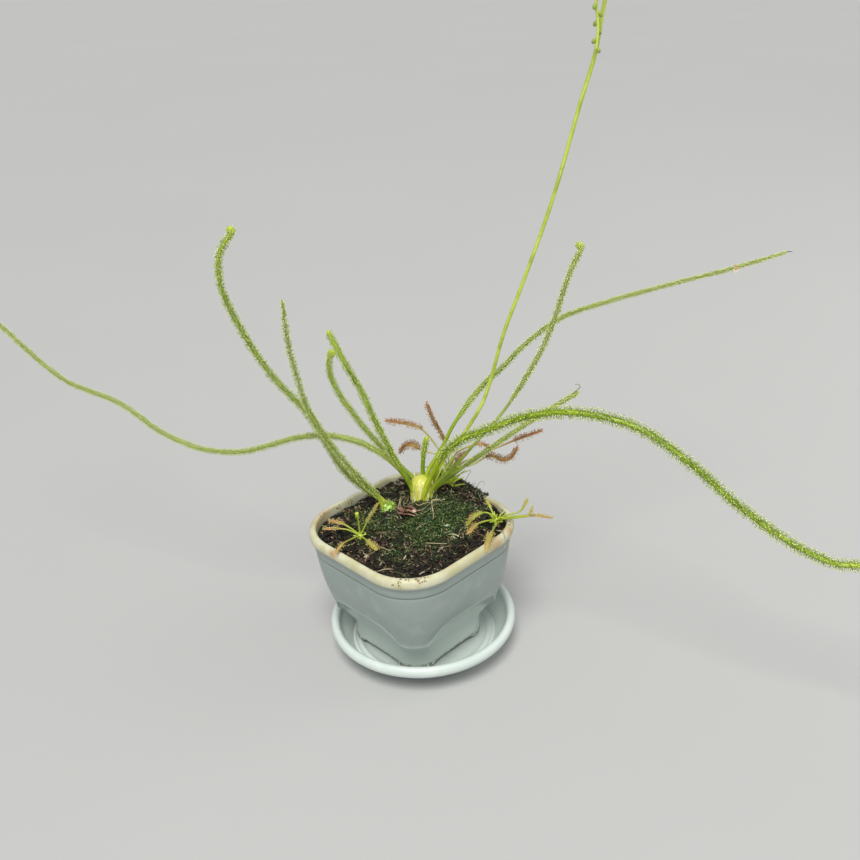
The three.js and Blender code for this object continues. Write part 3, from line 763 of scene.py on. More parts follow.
def finish_piece(shape: Shape | Mesh, name: str, finishes: Sequence[Finish], slot: str, *replaces: str) -> Piece:
    """Turns a shape into a smooth-shaded piece that rides on the body.

    Args:
        shape: A bmesh in millimetres, which is freed, or a mesh in metres.
        name: The piece's name.
        finishes: Its finishes, in slot order.
        slot: The name of a material slot; it is not used.
        *replaces: The CAD nodes that the piece stands for.

    Returns:
        The new object.
    """
    mesh = to_mesh(shape, name) if isinstance(shape, Shape) else shape
    for finish in finishes:
        mesh.materials.append(finish.material())
    mesh.polygons.foreach_set("use_smooth", [True] * len(mesh.polygons))
    piece = put_in_scene(name, mesh)
    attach(piece, BODY)
    if replaces:
        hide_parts(*replaces)
    log.info("%s: %d faces", name, len(mesh.polygons))
    return piece


def paint(mesh: Mesh, name: str, values: Sequence[float]) -> None:
    """Writes a value for each vertex as an attribute."""
    mesh.attributes.new(name, "FLOAT", "POINT").data.foreach_set("value", np.asarray(values, dtype=np.float32))


class Loft:
    """A skin grown ring by ring with bmesh's extrude. Rings are in millimetres."""

    def __init__(self, ring: Sequence[Vector]) -> None:
        """Starts a skin.

        Args:
            ring: The first ring's points.
        """
        self.bm = new_skin()
        self.ring = list(bmesh.ops.create_circle(self.bm, cap_ends=False, radius=1.0, segments=len(ring))["verts"])
        self.edges = list(self.bm.edges)
        self.first_edges = self.edges
        self._put(ring)

    def _put(self, ring: Sequence[Vector]) -> None:
        """Moves the open ring to its points."""
        for vert, point in zip(self.ring, ring):
            vert.co = point

    def grow(self, *rings: Sequence[Vector]) -> None:
        """Extrudes the open ring, ring after ring.

        Args:
            *rings: Each ring's points.
        """
        for ring in rings:
            order = {vert: k for k, vert in enumerate(self.ring)}
            self.edges, verts = extrude(self.bm, self.edges)
            for vert in verts:
                below = next(e.other_vert(vert) for e in vert.link_edges if e.other_vert(vert) in order)
                self.ring[order[below]] = vert
            self._put(ring)

    def mark(self, laid: Sequence[Vector], along: float) -> None:
        """Writes where the open ring lies on the straightened stem.

        Args:
            laid: Its points there.
            along: Its share of the length.
        """
        layers = self.bm.verts.layers
        straight, share = layers.float_vector["laid"], layers.float["along"]
        for vert, place in zip(self.ring, laid):
            vert[straight], vert[share] = place * MM, along

    def close(self, foot: Vector, tip: Vector) -> Shape:
        """Closes both ends to points and turns the faces outwards.

        Args:
            foot: The point that closes the first ring.
            tip: The point that closes the open ring.

        Returns:
            The finished bmesh, still in millimetres.
        """
        for edges, point in ((self.first_edges, foot), (self.edges, tip)):
            bmesh.ops.pointmerge(self.bm, verts=extrude(self.bm, edges)[1], merge_co=point)
        settle(self.bm)
        return self.bm


class Route:
    """A smooth curve through points, read by distance."""

    STEPS = 40

    def __init__(self, points: Sequence[Point]) -> None:
        """Samples a centripetal curve.

        Args:
            points: What it goes through.
        """
        given = [Vector(p) for p in points]
        ends = [given[0] * 2 - given[1], *given, given[-1] * 2 - given[-2]]
        samples: list[Vector] = []
        for i in range(1, len(ends) - 2):
            samples += [self._between(ends[i - 1:i + 3], step / self.STEPS) for step in range(self.STEPS)]
        self.samples = np.array([*samples, given[-1]])
        steps = np.linalg.norm(np.diff(self.samples, axis=0), axis=1)
        self.distances = np.concatenate([[0.0], np.cumsum(steps)])
        self.length = float(self.distances[-1])

    @staticmethod
    def _between(four: Sequence[Vector], share: float) -> Vector:
        """Works out a point between the middle two of four points.

        Args:
            four: The four points.
            share: How far it is from the second to the third.

        Returns:
            The point.
        """
        spans = [max((b - a).length, 1e-4) ** 0.5 for a, b in zip(four, four[1:])]
        p0, p1, p2, p3 = four
        start = ((p1 - p0) / spans[0] - (p2 - p0) / (spans[0] + spans[1]) + (p2 - p1) / spans[1]) * spans[1]
        end = ((p2 - p1) / spans[1] - (p3 - p1) / (spans[1] + spans[2]) + (p3 - p2) / spans[2]) * spans[1]
        t, t2, t3 = share, share**2, share**3
        return (p1 + start * t + (p2 * 3 - p1 * 3 - start * 2 - end) * t2 + (p1 * 2 - p2 * 2 + start + end) * t3)

    def at(self, distance: float) -> Vector:
        """Returns the point at a distance from the start."""
        return Vector([np.interp(distance, self.distances, self.samples[:, axis]) for axis in range(3)])

    def heading(self, distance: float) -> Vector:
        """Returns the direction at a distance from the start."""
        reach = min(0.2, self.length / 20)
        return (self.at(min(distance + reach, self.length)) - self.at(max(distance - reach, 0.0))).normalized()

    def past_end(self, reach: float) -> Vector:
        """Returns the point at a reach beyond the end."""
        return self.at(self.length) + self.heading(self.length) * reach

    def stations(self, count: int, half: Callable[[float], Pair]) -> list["Station"]:
        """Returns evenly spaced stations, whose half sizes are given by share of the length."""
        shares = [i / count for i in range(count + 1)]
        return [Station(self.at(self.length * share), half(share), self.length * share) for share in shares]


class Station(NamedTuple):
    """One place on a stem: its middle, half sizes of its section and distance from the foot."""

    point: Vector
    half: Pair
    distance: float


class Stem:
    """A stem of elliptical section carried along stations, with the axes of each section kept."""

    def __init__(self, stations: Sequence[Station], sides: int, level: bool = False) -> None:
        """Works out the sections' axes.

        Args:
            stations: The places along the stem.
            sides: Number of points round a section.
            level: Whether the width stays level.
        """
        self.stations = list(stations)
        self.angles = [FULL_TURN * k / sides for k in range(sides)]
        self.across: list[Vector] = []
        self.over: list[Vector] = []
        self.heading: list[Vector] = []
        across = None
        for i in range(len(stations)):
            along = (stations[min(i + 1, len(stations) - 1)].point - stations[max(i - 1, 0)].point).normalized()
            if level or across is None:
                wanted = along.cross(-SIDEWAYS if abs(along.z) > 0.98 else -UP).normalized()
                across = wanted if across is None else across.lerp(wanted, 0.5)
            across = (across - along * across.dot(along)).normalized()
            self.heading.append(along)
            self.across.append(across)
            self.over.append(along.cross(across))

    def ring(self, i: int, swell: Swell | None = None) -> list[Vector]:
        """Works out a section.

        Args:
            i: The station's number.
            swell: Share of the radius by angle and distance.

        Returns:
            The section's points.
        """
        point, half, distance = self.stations[i]
        points = []
        for angle in self.angles:
            grow = swell(angle, distance) if swell else 1.0
            wide, high = half[0] * math.cos(angle) * grow, half[1] * math.sin(angle) * grow
            points.append(point + self.across[i] * wide + self.over[i] * high)
        return points

    def skin(self, tip: Vector, swell: Swell | None = None) -> Shape:
        """Grows the stem's closed skin.

        Args:
            tip: The point that closes it.
            swell: Share of the radius by angle and distance.

        Returns:
            The skin as a bmesh, in millimetres.
        """
        length = max(self.stations[-1].distance, 1e-6)
        loft = Loft(self.ring(0, swell))
        for i, (_, half, distance) in enumerate(self.stations):
            if i:
                loft.grow(self.ring(i, swell))
            laid = [Vector((half[0] * math.cos(a), half[1] * math.sin(a), distance)) for a in self.angles]
            loft.mark(laid, distance / length)
        return loft.close(self.stations[0].point, tip)

    def spot(self, distance: float, angle: float) -> tuple[Vector, Vector, Vector]:
        """Finds a place on the skin.

        Args:
            distance: Its distance from the foot.
            angle: Its angle round the stem.

        Returns:
            The point, the outward direction and the stem's heading.
        """
        distances = [s.distance for s in self.stations]
        i = int(np.clip(np.searchsorted(distances, distance) - 1, 0, len(distances) - 2))
        share = (distance - distances[i]) / max(distances[i + 1] - distances[i], 1e-6)
        low, high = self.stations[i], self.stations[i + 1]
        across = self.across[i].lerp(self.across[i + 1], share)
        over = self.over[i].lerp(self.over[i + 1], share)
        wide, thick = (lerp(low.half[k], high.half[k], share) for k in (0, 1))
        point = low.point.lerp(high.point, share) + across * (wide * math.cos(angle)) + over * (thick * math.sin(angle))
        out = (across * (math.cos(angle) * thick) + over * (math.sin(angle) * wide)).normalized()
        return point, out, self.heading[i]


class Strand(NamedTuple):
    """A straw or thread: its points, its radius at both ends, and how flat it is."""

    points: tuple[Point, ...]
    radius: Pair
    flat: float = 1.0


def bind_skins(skins: Iterator[Shape]) -> Shape:
    """Puts skins into one bmesh.

    Args:
        skins: The skins, which are freed.

    Returns:
        The bmesh.
    """
    whole = new_skin()
    for skin in skins:
        mesh = to_mesh(skin, "part", 1.0)
        whole.from_mesh(mesh)
        bpy.data.meshes.remove(mesh)
    return whole


def bind_strands(strands: Sequence[Strand], sides: int = 6, step: float = 0.6) -> Shape:
    """Grows strands into one bmesh.

    Args:
        strands: The strands.
        sides: Number of points round a strand.
        step: Length between its sections.

    Returns:
        The bmesh, in millimetres.
    """

    def skin(strand: Strand) -> Shape:
        """Returns the skin of a strand."""
        route = Route(strand.points)
        count = max(4, round(route.length / step))
        stations = route.stations(count, lambda s: (lerp(*strand.radius, s), lerp(*strand.radius, s) * strand.flat))
        return Stem(stations, sides, level=strand.flat < 1).skin(route.past_end(0.1))

    return bind_skins(map(skin, strands))


class Copies:
    """Many copies of one small shape, made by doubling it with bmesh's duplicate."""

    def __init__(self, template: Shape, rise: Sequence[float] | None = None) -> None:
        """Takes the shape.

        Args:
            template: The shape, in millimetres.
            rise: For each vertex, how far it rises with the copy's reach.
        """
        self.template = template
        self.base = np.array([v.co for v in template.verts])
        self.rise = np.array(rise if rise is not None else [0.0] * len(self.base))

    def mesh(
        self,
        name: str,
        places: np.ndarray,
        turns: np.ndarray,
        sizes: np.ndarray,
        reach: np.ndarray,
        **values: np.ndarray,
    ) -> Mesh:
        """Lays out the copies.

        Args:
            name: The mesh's name.
            places: Where each copy stands.
            turns: Each copy's axes, as the columns of a matrix.
            sizes: Each copy's scale along its axes.
            reach: How far the rising vertices go along the third axis.
            **values: A value for each copy, by attribute name.

        Returns:
            The mesh, in metres, with the values and "rise" as attributes.
        """
        count = len(places)
        bm = self.template
        size = (len(bm.verts), len(bm.edges), len(bm.faces))
        have = 1
        while have < count:
            more = min(have, count - have)
            geometry = bm.verts[:size[0] * more] + bm.edges[:size[1] * more] + bm.faces[:size[2] * more]
            bmesh.ops.duplicate(bm, geom=geometry)
            have += more
            for layer in (bm.verts, bm.edges, bm.faces):
                layer.ensure_lookup_table()
        mesh = to_mesh(bm, name, 1.0)
        local = self.base[None] * sizes[:, None, :]
        local[..., 2] += self.rise[None] * reach[:, None]
        world = np.einsum("nij,nvj->nvi", turns, local) + places[:, None, :]
        mesh.vertices.foreach_set("co", (world * MM).astype(np.float32).ravel())
        paint(mesh, "rise", np.tile(self.rise, count))
        for key, value in values.items():
            paint(mesh, key, np.repeat(value, size[0]))
        mesh.update()
        return mesh


def axes_from(direction: np.ndarray, rng: np.random.Generator) -> np.ndarray:
    """Works out axes for copies, each turned at random about its third axis.

    Args:
        direction: The third axes, of any length.
        rng: For the random draws.

    Returns:
        A matrix for each direction.
    """
    spin = rng.uniform(0, ANY_TURN, len(direction))
    z = direction / np.linalg.norm(direction, axis=1, keepdims=True)
    helper = np.where(np.abs(z[:, 2:3]) < 0.9, np.array([[0.0, 0.0, 1.0]]), np.array([[1.0, 0.0, 0.0]]))
    x = np.cross(helper, z)
    x /= np.linalg.norm(x, axis=1, keepdims=True)
    y = np.cross(z, x)
    c, s = np.cos(spin)[:, None], np.sin(spin)[:, None]
    return np.stack([x * c + y * s, y * c - x * s, z], axis=2)


def tentacle_copies(stalk: float, bead: float) -> Copies:
    """Makes a tentacle of no length, to be copied: a stalk of slot 0 and a bead of slot 1.

    Args:
        stalk: Radius of the stalk at its foot.
        bead: Radius of the bead.

    Returns:
        The shape, whose head rises with the tentacle's reach.
    """
    bm = bmesh.new()
    cone = bmesh.ops.create_cone(
        bm, cap_ends=False, segments=3, radius1=stalk, radius2=stalk * 0.55, depth=0.2)["verts"]
    rise = [1.0 if v.co.z > 0 else 0.0 for v in cone]
    for vert in cone:
        vert.co.z = 0.0
    ball = bmesh.ops.create_icosphere(bm, subdivisions=1, radius=bead)["verts"]
    for face in {f for v in ball for f in v.link_faces}:
        face.material_index = 1
    bm.verts.ensure_lookup_table()
    return Copies(bm, rise + [1.0] * len(ball))


# ---- saucer


@dataclass
class Saucer:
    """The round saucer, spun from its profile."""

    floor_top: float = 3.0
    lip_radius: float = 44.8
    lip_height: float = 13.0
    lip_half: Pair = (2.25, 2.9)
    rings: Pair = (35.6, 32.8)
    ring_steps: tuple[Pair, ...] = ((0.8, 0.05), (0.3, 0.42), (0.0, 0.5), (-0.3, 0.42), (-0.8, 0.0))
    steps: int = 144

    def profile(self) -> list[Pair]:
        """Works out the section.

        Returns:
            Radius and height from the middle of the underside round to the middle of the floor.
        """
        lip = [
            (self.lip_radius + self.lip_half[0] * math.cos(math.radians(a)),
             self.lip_height + self.lip_half[1] * math.sin(math.radians(a)))
            for a in range(-60, 191, 25)]
        under = [(0.0, 0.3), (28.0, 0.3), (30.0, 0.0), (33.5, 0.0), (34.8, 0.5), (36.0, 1.5), (40.0, 5.4), (43.6, 9.0)]
        slope = [(41.4, 9.6), (40.0, 7.6), (38.6, 5.8), (37.4, 4.5), (36.7, 3.5)]
        floor = [(ring + out, self.floor_top + up) for ring in self.rings for out, up in self.ring_steps]
        return [*under, *lip, *slope, *floor, *[(radius, self.floor_top) for radius in (30.0, 14.0, 0.0)]]

    def build(self) -> None:
        """Spins the profile and dresses the piece."""
        bm = bmesh.new()
        points = [Vector((r, 0.0, z)) for r, z in self.profile()]
        vert = bm.verts.new(points[0])
        for point in points[1:]:
            vert = bmesh.ops.extrude_vert_indiv(bm, verts=[vert])["verts"][0]
            vert.co = point
        bmesh.ops.spin(
            bm, geom=bm.verts[:] + bm.edges[:], cent=(0, 0, 0), axis=UP, angle=FULL_TURN, steps=self.steps,
            use_merge=True)
        bmesh.ops.remove_doubles(bm, verts=bm.verts, dist=1e-4)
        settle(bm)
        finish_piece(bm, "saucer_shell", [SaucerPlastic()], "saucer_plastic", "saucer")


# ---- pot


class Spot(NamedTuple):
    """A point of the pot's outline, with its distances round it from a corner and from a side's middle."""

    x: float
    y: float
    from_corner: float
    from_side: float


@dataclass
class Pot:
    """The rounded-square pot: rolled rim, groove, bellied body with four tongues, set-in foot."""

    centre: Pair = (-1.5, -2.6)
    wall: float = 1.9
    foot_top: Pair = (14.0, 19.5)
    edge: Pair = (23.7, 34.4)
    tongue: Pair = (6.5, 12.5)
    foot_half: float = 25.8
    foot_corner: float = 11.5
    notch_height: float = 2.0
    notch_half: float = 12.5
    underside: float = 3.8
    base_under: float = 6.0
    floor_top: float = 7.6
    drain_radius: float = 3.0
    drain_spacing: float = 13.0
    rim_corner: float = 0.58
    corner_steps: int = 14
    side_steps: int = 10
    body: tuple[Point, ...] = (
        (23.7, 32.1, 14), (31, 34.6, 15.5), (37, 37.2, 20.5), (45, 39.4, 23.5), (57.8, 40.7, 23.7))
    body_steps: tuple[Pair, ...] = (
        (0.0, 0.1), (0.006, -0.55), (0.018, -0.85), (0.036, -0.6), (0.064, -0.08), (0.15, 0.0), (0.3, 0.0), (0.45, 0.0),
        (0.6, 0.0), (0.8, 0.0))
    rim_outside: tuple[Pair, ...] = (
        (57.8, 40.7), (58.1, 40.35), (58.4, 40.3), (58.8, 40.8), (60.5, 40.95), (62.6, 41.0), (63.4, 41.2),
        (64.1, 41.9), (65.0, 42.45), (66.0, 42.6), (67.2, 42.6), (68.2, 42.4), (69.0, 41.95), (69.55, 41.3),
        (69.8, 40.5))
    rim_inside: tuple[Pair, ...] = ((69.6, 39.9), (69.0, 39.5), (68.0, 39.4))

    def outline(self, half: float, corner: float) -> list[Spot]:
        """Works out a rounded square about the pot's middle.

        Args:
            half: Half its side.
            corner: Its corners' radius.

        Returns:
            The points round it.
        """
        straight = 2 * (half - corner)
        spots = []
        for quarter in range(4):
            c, s = math.cos(quarter * math.pi / 2), math.sin(quarter * math.pi / 2)

            def put(x: float, y: float, from_corner: float, from_side: float) -> None:
                """Adds a point, turned to its quarter."""
                cx, cy = self.centre
                spots.append(Spot(cx + x * c - y * s, cy + x * s + y * c, from_corner, from_side))

            for i in range(self.corner_steps):
                angle = i / self.corner_steps * math.pi / 2
                from_corner = abs(angle - math.pi / 4) * corner
                put(half - corner + corner * math.cos(angle), half - corner + corner * math.sin(angle), from_corner,
                    straight / 2 + corner * math.pi / 4 - from_corner)
            for i in range(self.side_steps):
                along = half - corner - i / self.side_steps * straight
                put(along, half, corner * math.pi / 4 + straight / 2 - abs(along), abs(along))
        return spots

    def ring(self, height: Callable[[int], float], half: Swell, corner: Swell) -> list[Vector]:
        """Works out a ring whose sizes may change round it.

        Args:
            height: Its height by the point's number.
            half: Half its side by height and number.
            corner: Its corners' radius by height and number.

        Returns:
            The ring's points.
        """
        points = []
        for k in range(4 * (self.corner_steps + self.side_steps)):
            z = height(k)
            spot = self.outline(half(z, k), corner(z, k))[k]
            points.append(Vector((spot.x, spot.y, z)))
        return points

    def shares(self) -> list[float]:
        """Returns for each point of a ring how far it is out of the tongues, from 0 to 1."""
        reference = self.outline(at_height(self.body, self.edge[0], 1), at_height(self.body, self.edge[0], 2))
        return [smoothstep(spot.from_corner, *self.tongue) for spot in reference]

    def levels(self, low_high: Pair) -> list[float]:
        """Returns a height for each point of a ring, given those in and out of the tongues."""
        return [lerp(*low_high, s) for s in self.shares()]

    def rim_ring(self, z: float, half: float) -> list[Vector]:
        """Returns a level ring of the rim."""
        return self.ring(lambda k: z, lambda _, k: half, lambda _, k: half * self.rim_corner)

    def body_ring(self, share: float, inset: float, lift: float = 0.0) -> list[Vector]:
        """Works out a ring of the body.

        Args:
            share: From 0 at its arched edge to 1 at the groove.
            inset: How far in it lies.
            lift: How far above the edge the rings start.

        Returns:
            The ring's points.
        """
        edges = self.levels(self.edge)
        return self.ring(
            lambda k: lerp(edges[k] + lift, self.body[-1][0], share),
            lambda z, k: at_height(self.body, z, 1) - inset, lambda z, k: at_height(self.body, z, 2) - inset)

    def cove_ring(self, share: float) -> list[Vector]:
        """Works out a ring of the slope under the body.

        Args:
            share: From 0 at the body's edge to 1 at the foot.

        Returns:
            The ring's points.
        """
        edges, tops = self.levels(self.edge), self.levels(self.foot_top)
        return self.ring(
            lambda k: lerp(edges[k] - 0.6, tops[k], share),
            lambda _, k: lerp(at_height(self.body, edges[k], 1) - 0.9, self.foot_half - 0.2, share**0.8),
            lambda _, k: lerp(at_height(self.body, edges[k], 2) - 0.9, self.foot_corner, share))

    def foot_ring(self, height: Callable[[int], float], inset: float) -> list[Vector]:
        """Returns a ring of the foot."""
        return self.ring(height, lambda _, k: self.foot_half - inset, lambda _, k: self.foot_corner - inset)

    def rings(self) -> list[list[Vector]]:
        """Works out the whole pot.

        Returns:
            Every ring from the base's edge up the outside and down the inside.
        """
        foot, tops = self.outline(self.foot_half, self.foot_corner), self.levels(self.foot_top)

        def notched(k: int) -> float:
            """Returns the height of the foot's underside."""
            outside = smoothstep(foot[k].from_side, self.notch_half - 0.8, self.notch_half + 0.8)
            return self.underside + self.notch_height * (1 - outside)

        return [
            self.foot_ring(lambda k: self.base_under, self.wall + 0.4),
            self.foot_ring(lambda k: self.base_under - 0.2, self.wall + 0.1),
            self.foot_ring(notched, self.wall - 0.1),
            self.foot_ring(notched, 0.15),
            self.foot_ring(lambda k: notched(k) + 0.3, 0.0),
            self.foot_ring(lambda k: lerp(notched(k), tops[k], 0.5), 0.1),
            *[self.cove_ring(share) for share in (1.0, 0.9, 0.7, 0.5, 0.3, 0.15, 0.0)],
            *[self.body_ring(share, inset) for share, inset in self.body_steps],
            *[self.rim_ring(z, half) for z, half in (*self.rim_outside, *self.rim_inside)],
            self.body_ring(0.5, self.wall, 2.0),
            self.body_ring(0.0, self.wall, 2.0),
            self.foot_ring(lambda k: tops[k] + 1, self.wall),
            self.foot_ring(lambda k: self.floor_top + 0.6, self.wall),
            self.foot_ring(lambda k: self.floor_top, self.wall + 0.5)]

    def drains(self) -> Piece:
        """Makes the cutters of the five drain holes.

        Returns:
            The cutters as one object.
        """
        bm = bmesh.new()
        for x, y in ((0, 0), (1, 1), (-1, 1), (-1, -1), (1, -1)):
            cx, cy = self.centre
            place = Vector((cx + x * self.drain_spacing, cy + y * self.drain_spacing, self.base_under))
            bmesh.ops.create_cone(
                bm, cap_ends=True, segments=32, radius1=self.drain_radius, radius2=self.drain_radius, depth=6.0,
                matrix=Matrix.Translation(place))
        return put_in_scene("drain_cutters", to_mesh(bm, "drain_cutters"))

    def build(self) -> None:
        """Lofts the pot, smooths and drills it, and dresses it."""
        first, *rings = self.rings()
        loft = Loft(first)
        loft.grow(*rings)
        bm = loft.close(Vector((*self.centre, self.base_under)), Vector((*self.centre, self.floor_top)))
        blank, cutters = put_in_scene("pot_blank", to_mesh(bm, "pot_blank")), self.drains()
        smooth = blank.modifiers.new("smooth", "SUBSURF")
        smooth.levels = smooth.render_levels = 1
        cut = blank.modifiers.new("drains", "BOOLEAN")
        cut.operation, cut.solver, cut.object = "DIFFERENCE", "EXACT", cutters
        mesh = bpy.data.meshes.new_from_object(blank.evaluated_get(bpy.context.evaluated_depsgraph_get()))
        mesh.name = "pot_shell"
        mesh.materials.clear()
        for spare in (blank, cutters):
            bpy.data.objects.remove(spare, do_unlink=True)
        finish_piece(mesh, "pot_shell", [PotPlastic()], "pot_plastic", "pot")


# ---- soil


@dataclass
class Soil:
    """The peat bed, with its crumbs, moss and fibres."""

    pot: Pot
    level: float = 65.5
    mound: float = 10.5
    mound_centre: Pair = (-8.0, 24.0)
    mound_spread: Pair = (24.0, 20.0)
    edge_level: float = 68.4
    edge_band: float = 8.0
    lump: float = 0.4
    clod_rise: float = 1.5
    clod_scale: float = 0.3
    heaps: tuple[tuple[float, float, float, float], ...] = ((-5.5, 9.0, 4.2, 8.0), (-19.0, -2.0, 1.5, 5.0))
    half: float = 38.9
    corner: float = 22.2
    ring_count: int = 60
    crumb_count: int = 7000
    moss_count: int = 9000
    rim_count: int = 900
    fibre_count: int = 3400
    fibre_steps: int = 7
    seed: int = 11
    moss_patches: tuple[tuple[float, float, float, float], ...] = (
        (6.0, 2.0, 12.0, 1.0), (9.0, 14.0, 10.0, 0.8), (-24.0, -12.0, 9.0, 0.6), (8.0, -22.0, 8.0, 0.35),
        (-12.0, -14.0, 7.0, 0.5), (-22.0, 12.0, 8.0, 0.3), (18.0, 27.0, 7.0, 0.3))

    def height(self, x: float, y: float) -> float:
        """Works out the bed's height, with its lumps and clods.

        Args:
            x: Place inside the pot.
            y: Place inside the pot.

        Returns:
            The height.
        """
        across = (x - self.mound_centre[0]) / self.mound_spread[0]
        along = (y - self.mound_centre[1]) / self.mound_spread[1]
        bed = self.level + self.mound * math.exp(-(across**2 + along**2))
        for *centre, rise, reach in self.heaps:
            bed += rise * hill(x, y, centre, reach)
        bed = lerp(min(bed, self.edge_level), bed, smoothstep(self.from_wall(x, y), 0.0, self.edge_band))
        bed += self.lump * (math.sin(0.83 * x + 0.4) * math.sin(0.71 * y) + math.sin(0.37 * x - 0.49 * y))
        bed += 0.6 * noise.fractal(Vector((x, y, 0.0)) * 0.45, 1.0, 2.0, 4)
        return bed + self.clod_rise * (self.clod(x, y) - 0.6)

    def clod(self, x: float, y: float) -> float:
        """Works out whether a place is on a clod.

        Args:
            x: Place inside the pot.
            y: Place inside the pot.

        Returns:
            1 on top of a clod and 0 in the gaps between clods.
        """
        place = Vector((x, y, 0.0)) * self.clod_scale
        near = noise.voronoi(place + noise.noise_vector(place * 1.7) * 0.35)[0]
        return smoothstep(near[1] - near[0], 0.03, 0.5)

    def mossy(self, x: float, y: float) -> float:
        """Returns how green the bed is at a place, from 0 to 1."""
        cover = sum(weight * hill(x, y, centre, reach) for *centre, reach, weight in self.moss_patches)
        return min(1.0, max(0.0, cover * 1.25 + 0.55 * noise.fractal(Vector((x, y, 7.0)) * 0.35, 1.0, 2.0, 4)))

    def over(self, places: Sequence[Sequence[float]], value: Swell) -> np.ndarray:
        """Returns a value of the bed at each place."""
        return np.array([value(x, y) for x, y, _ in places])

    def from_wall(self, x: float, y: float) -> float:
        """Works out how far a place is from the pot's inside.

        Args:
            x: Place inside the pot.
            y: Place inside the pot.

        Returns:
            The distance.
        """
        dx = abs(x - self.pot.centre[0]) - (self.half - self.corner)
        dy = abs(y - self.pot.centre[1]) - (self.half - self.corner)
        return self.corner - (math.hypot(dx, dy) if dx > 0 and dy > 0 else max(dx, dy))

    def bed(self) -> None:
        """Builds the bed from its sides up and in to its middle."""
        pot = self.pot
        loft = Loft(pot.foot_ring(lambda k: pot.floor_top + 0.3, pot.wall + 0.5))
        loft.grow(
            pot.foot_ring(lambda k: pot.foot_top[0], pot.wall + 0.8), pot.rim_ring(50.0, self.half - 3.0),
            pot.rim_ring(60.0, self.half - 1.2))
        for step in range(self.ring_count):
            share = (1 - step / self.ring_count) ** 0.9
            spots = pot.outline(self.half * share, self.corner * share)
            loft.grow([Vector((s.x, s.y, self.height(s.x, s.y))) for s in spots])
        bm = loft.close(Vector((*pot.centre, pot.floor_top + 0.3)), Vector((*pot.centre, self.height(*pot.centre))))
        mesh = finish_piece(bm, "peat_bed", [Peat()], "peat", "soil").data
        places = [(v.co.x / MM, v.co.y / MM, 0.0) for v in mesh.vertices]
        paint(mesh, "green", self.over(places, self.mossy))
        # The clod value goes in as "shade", so the peat is painted darker in the gaps between clods: painted shade.
        paint(mesh, "shade", self.over(places, self.clod))

    def rim_spots(self, rng: np.random.Generator) -> np.ndarray:
        """Scatters places in the heap that lies over the back of the rim.

        Args:
            rng: For the random draws.

        Returns:
            The places.
        """
        x = np.clip(rng.normal(-7.0, 8.0, self.rim_count), -24.0, 10.0)
        y = rng.uniform(33.5, 40.4, self.rim_count)
        top = 69.8 + 2.4 * np.exp(-(((x + 7) / 9) ** 2)) * np.clip((41.0 - y) / 3.0, 0, 1)
        return np.stack([x, y, top - rng.uniform(0.0, 1.0, self.rim_count)], axis=1)

    def spots(self, rng: np.random.Generator, count: int, inset: float = 0.6) -> np.ndarray:
        """Scatters places over the bed's surface.

        Args:
            rng: For the random draws.
            count: How many.
            inset: Their least distance from the pot's inside.

        Returns:
            The places.
        """
        places = []
        while len(places) < count:
            x, y = rng.uniform(-self.half, self.half, 2) + self.pot.centre
            if self.from_wall(x, y) > inset:
                places.append((x, y, self.height(x, y)))
        return np.array(places)

    def crumbs(self) -> None:
        """Scatters crumbs of peat over the bed; some are light and long."""
        rng = np.random.default_rng(self.seed)
        count = self.crumb_count
        places = self.spots(rng, count)
        places[:self.rim_count] = self.rim_spots(rng)
        green, clod = self.over(places, self.mossy), self.over(places, self.clod)
        sizes = rng.gamma(2.2, 0.22, count)[:, None] * rng.uniform(0.4, 1.3, (count, 3)) + 0.12
        sizes = np.minimum(sizes, 1.3) * (1.0 - 0.4 * green)[:, None]
        places[:, 2] += sizes.min(axis=1) * 0.5
        turns = axes_from(rng.normal(size=(count, 3)), rng)
        # Light crumbs stay on the clods, and the others are painted darker in the gaps between clods: painted shade
        # over their own random tone.
        light = rng.uniform(0, 1, count) < 0.3 * clod
        dull = (0.1 + 0.9 * clod) * (0.16 + 0.55 * rng.beta(1.2, 1.3, count))
        shade = np.where(light, rng.uniform(0.55, 0.92, count), dull)
        sizes[light] = np.minimum(sizes[light], 0.7) * [1.5, 0.55, 0.4]
        bm = bmesh.new()
        bmesh.ops.create_icosphere(bm, subdivisions=1, radius=1.0)
        mesh = Copies(bm).mesh(
            "peat_crumbs", places, turns, sizes, np.zeros(count), shade=shade, green=np.where(light, 0.35, 0.8) * green)
        finish_piece(mesh, "peat_crumbs", [Peat(name="peat_crumb", scattered=True, roughness=0.55)], "peat")

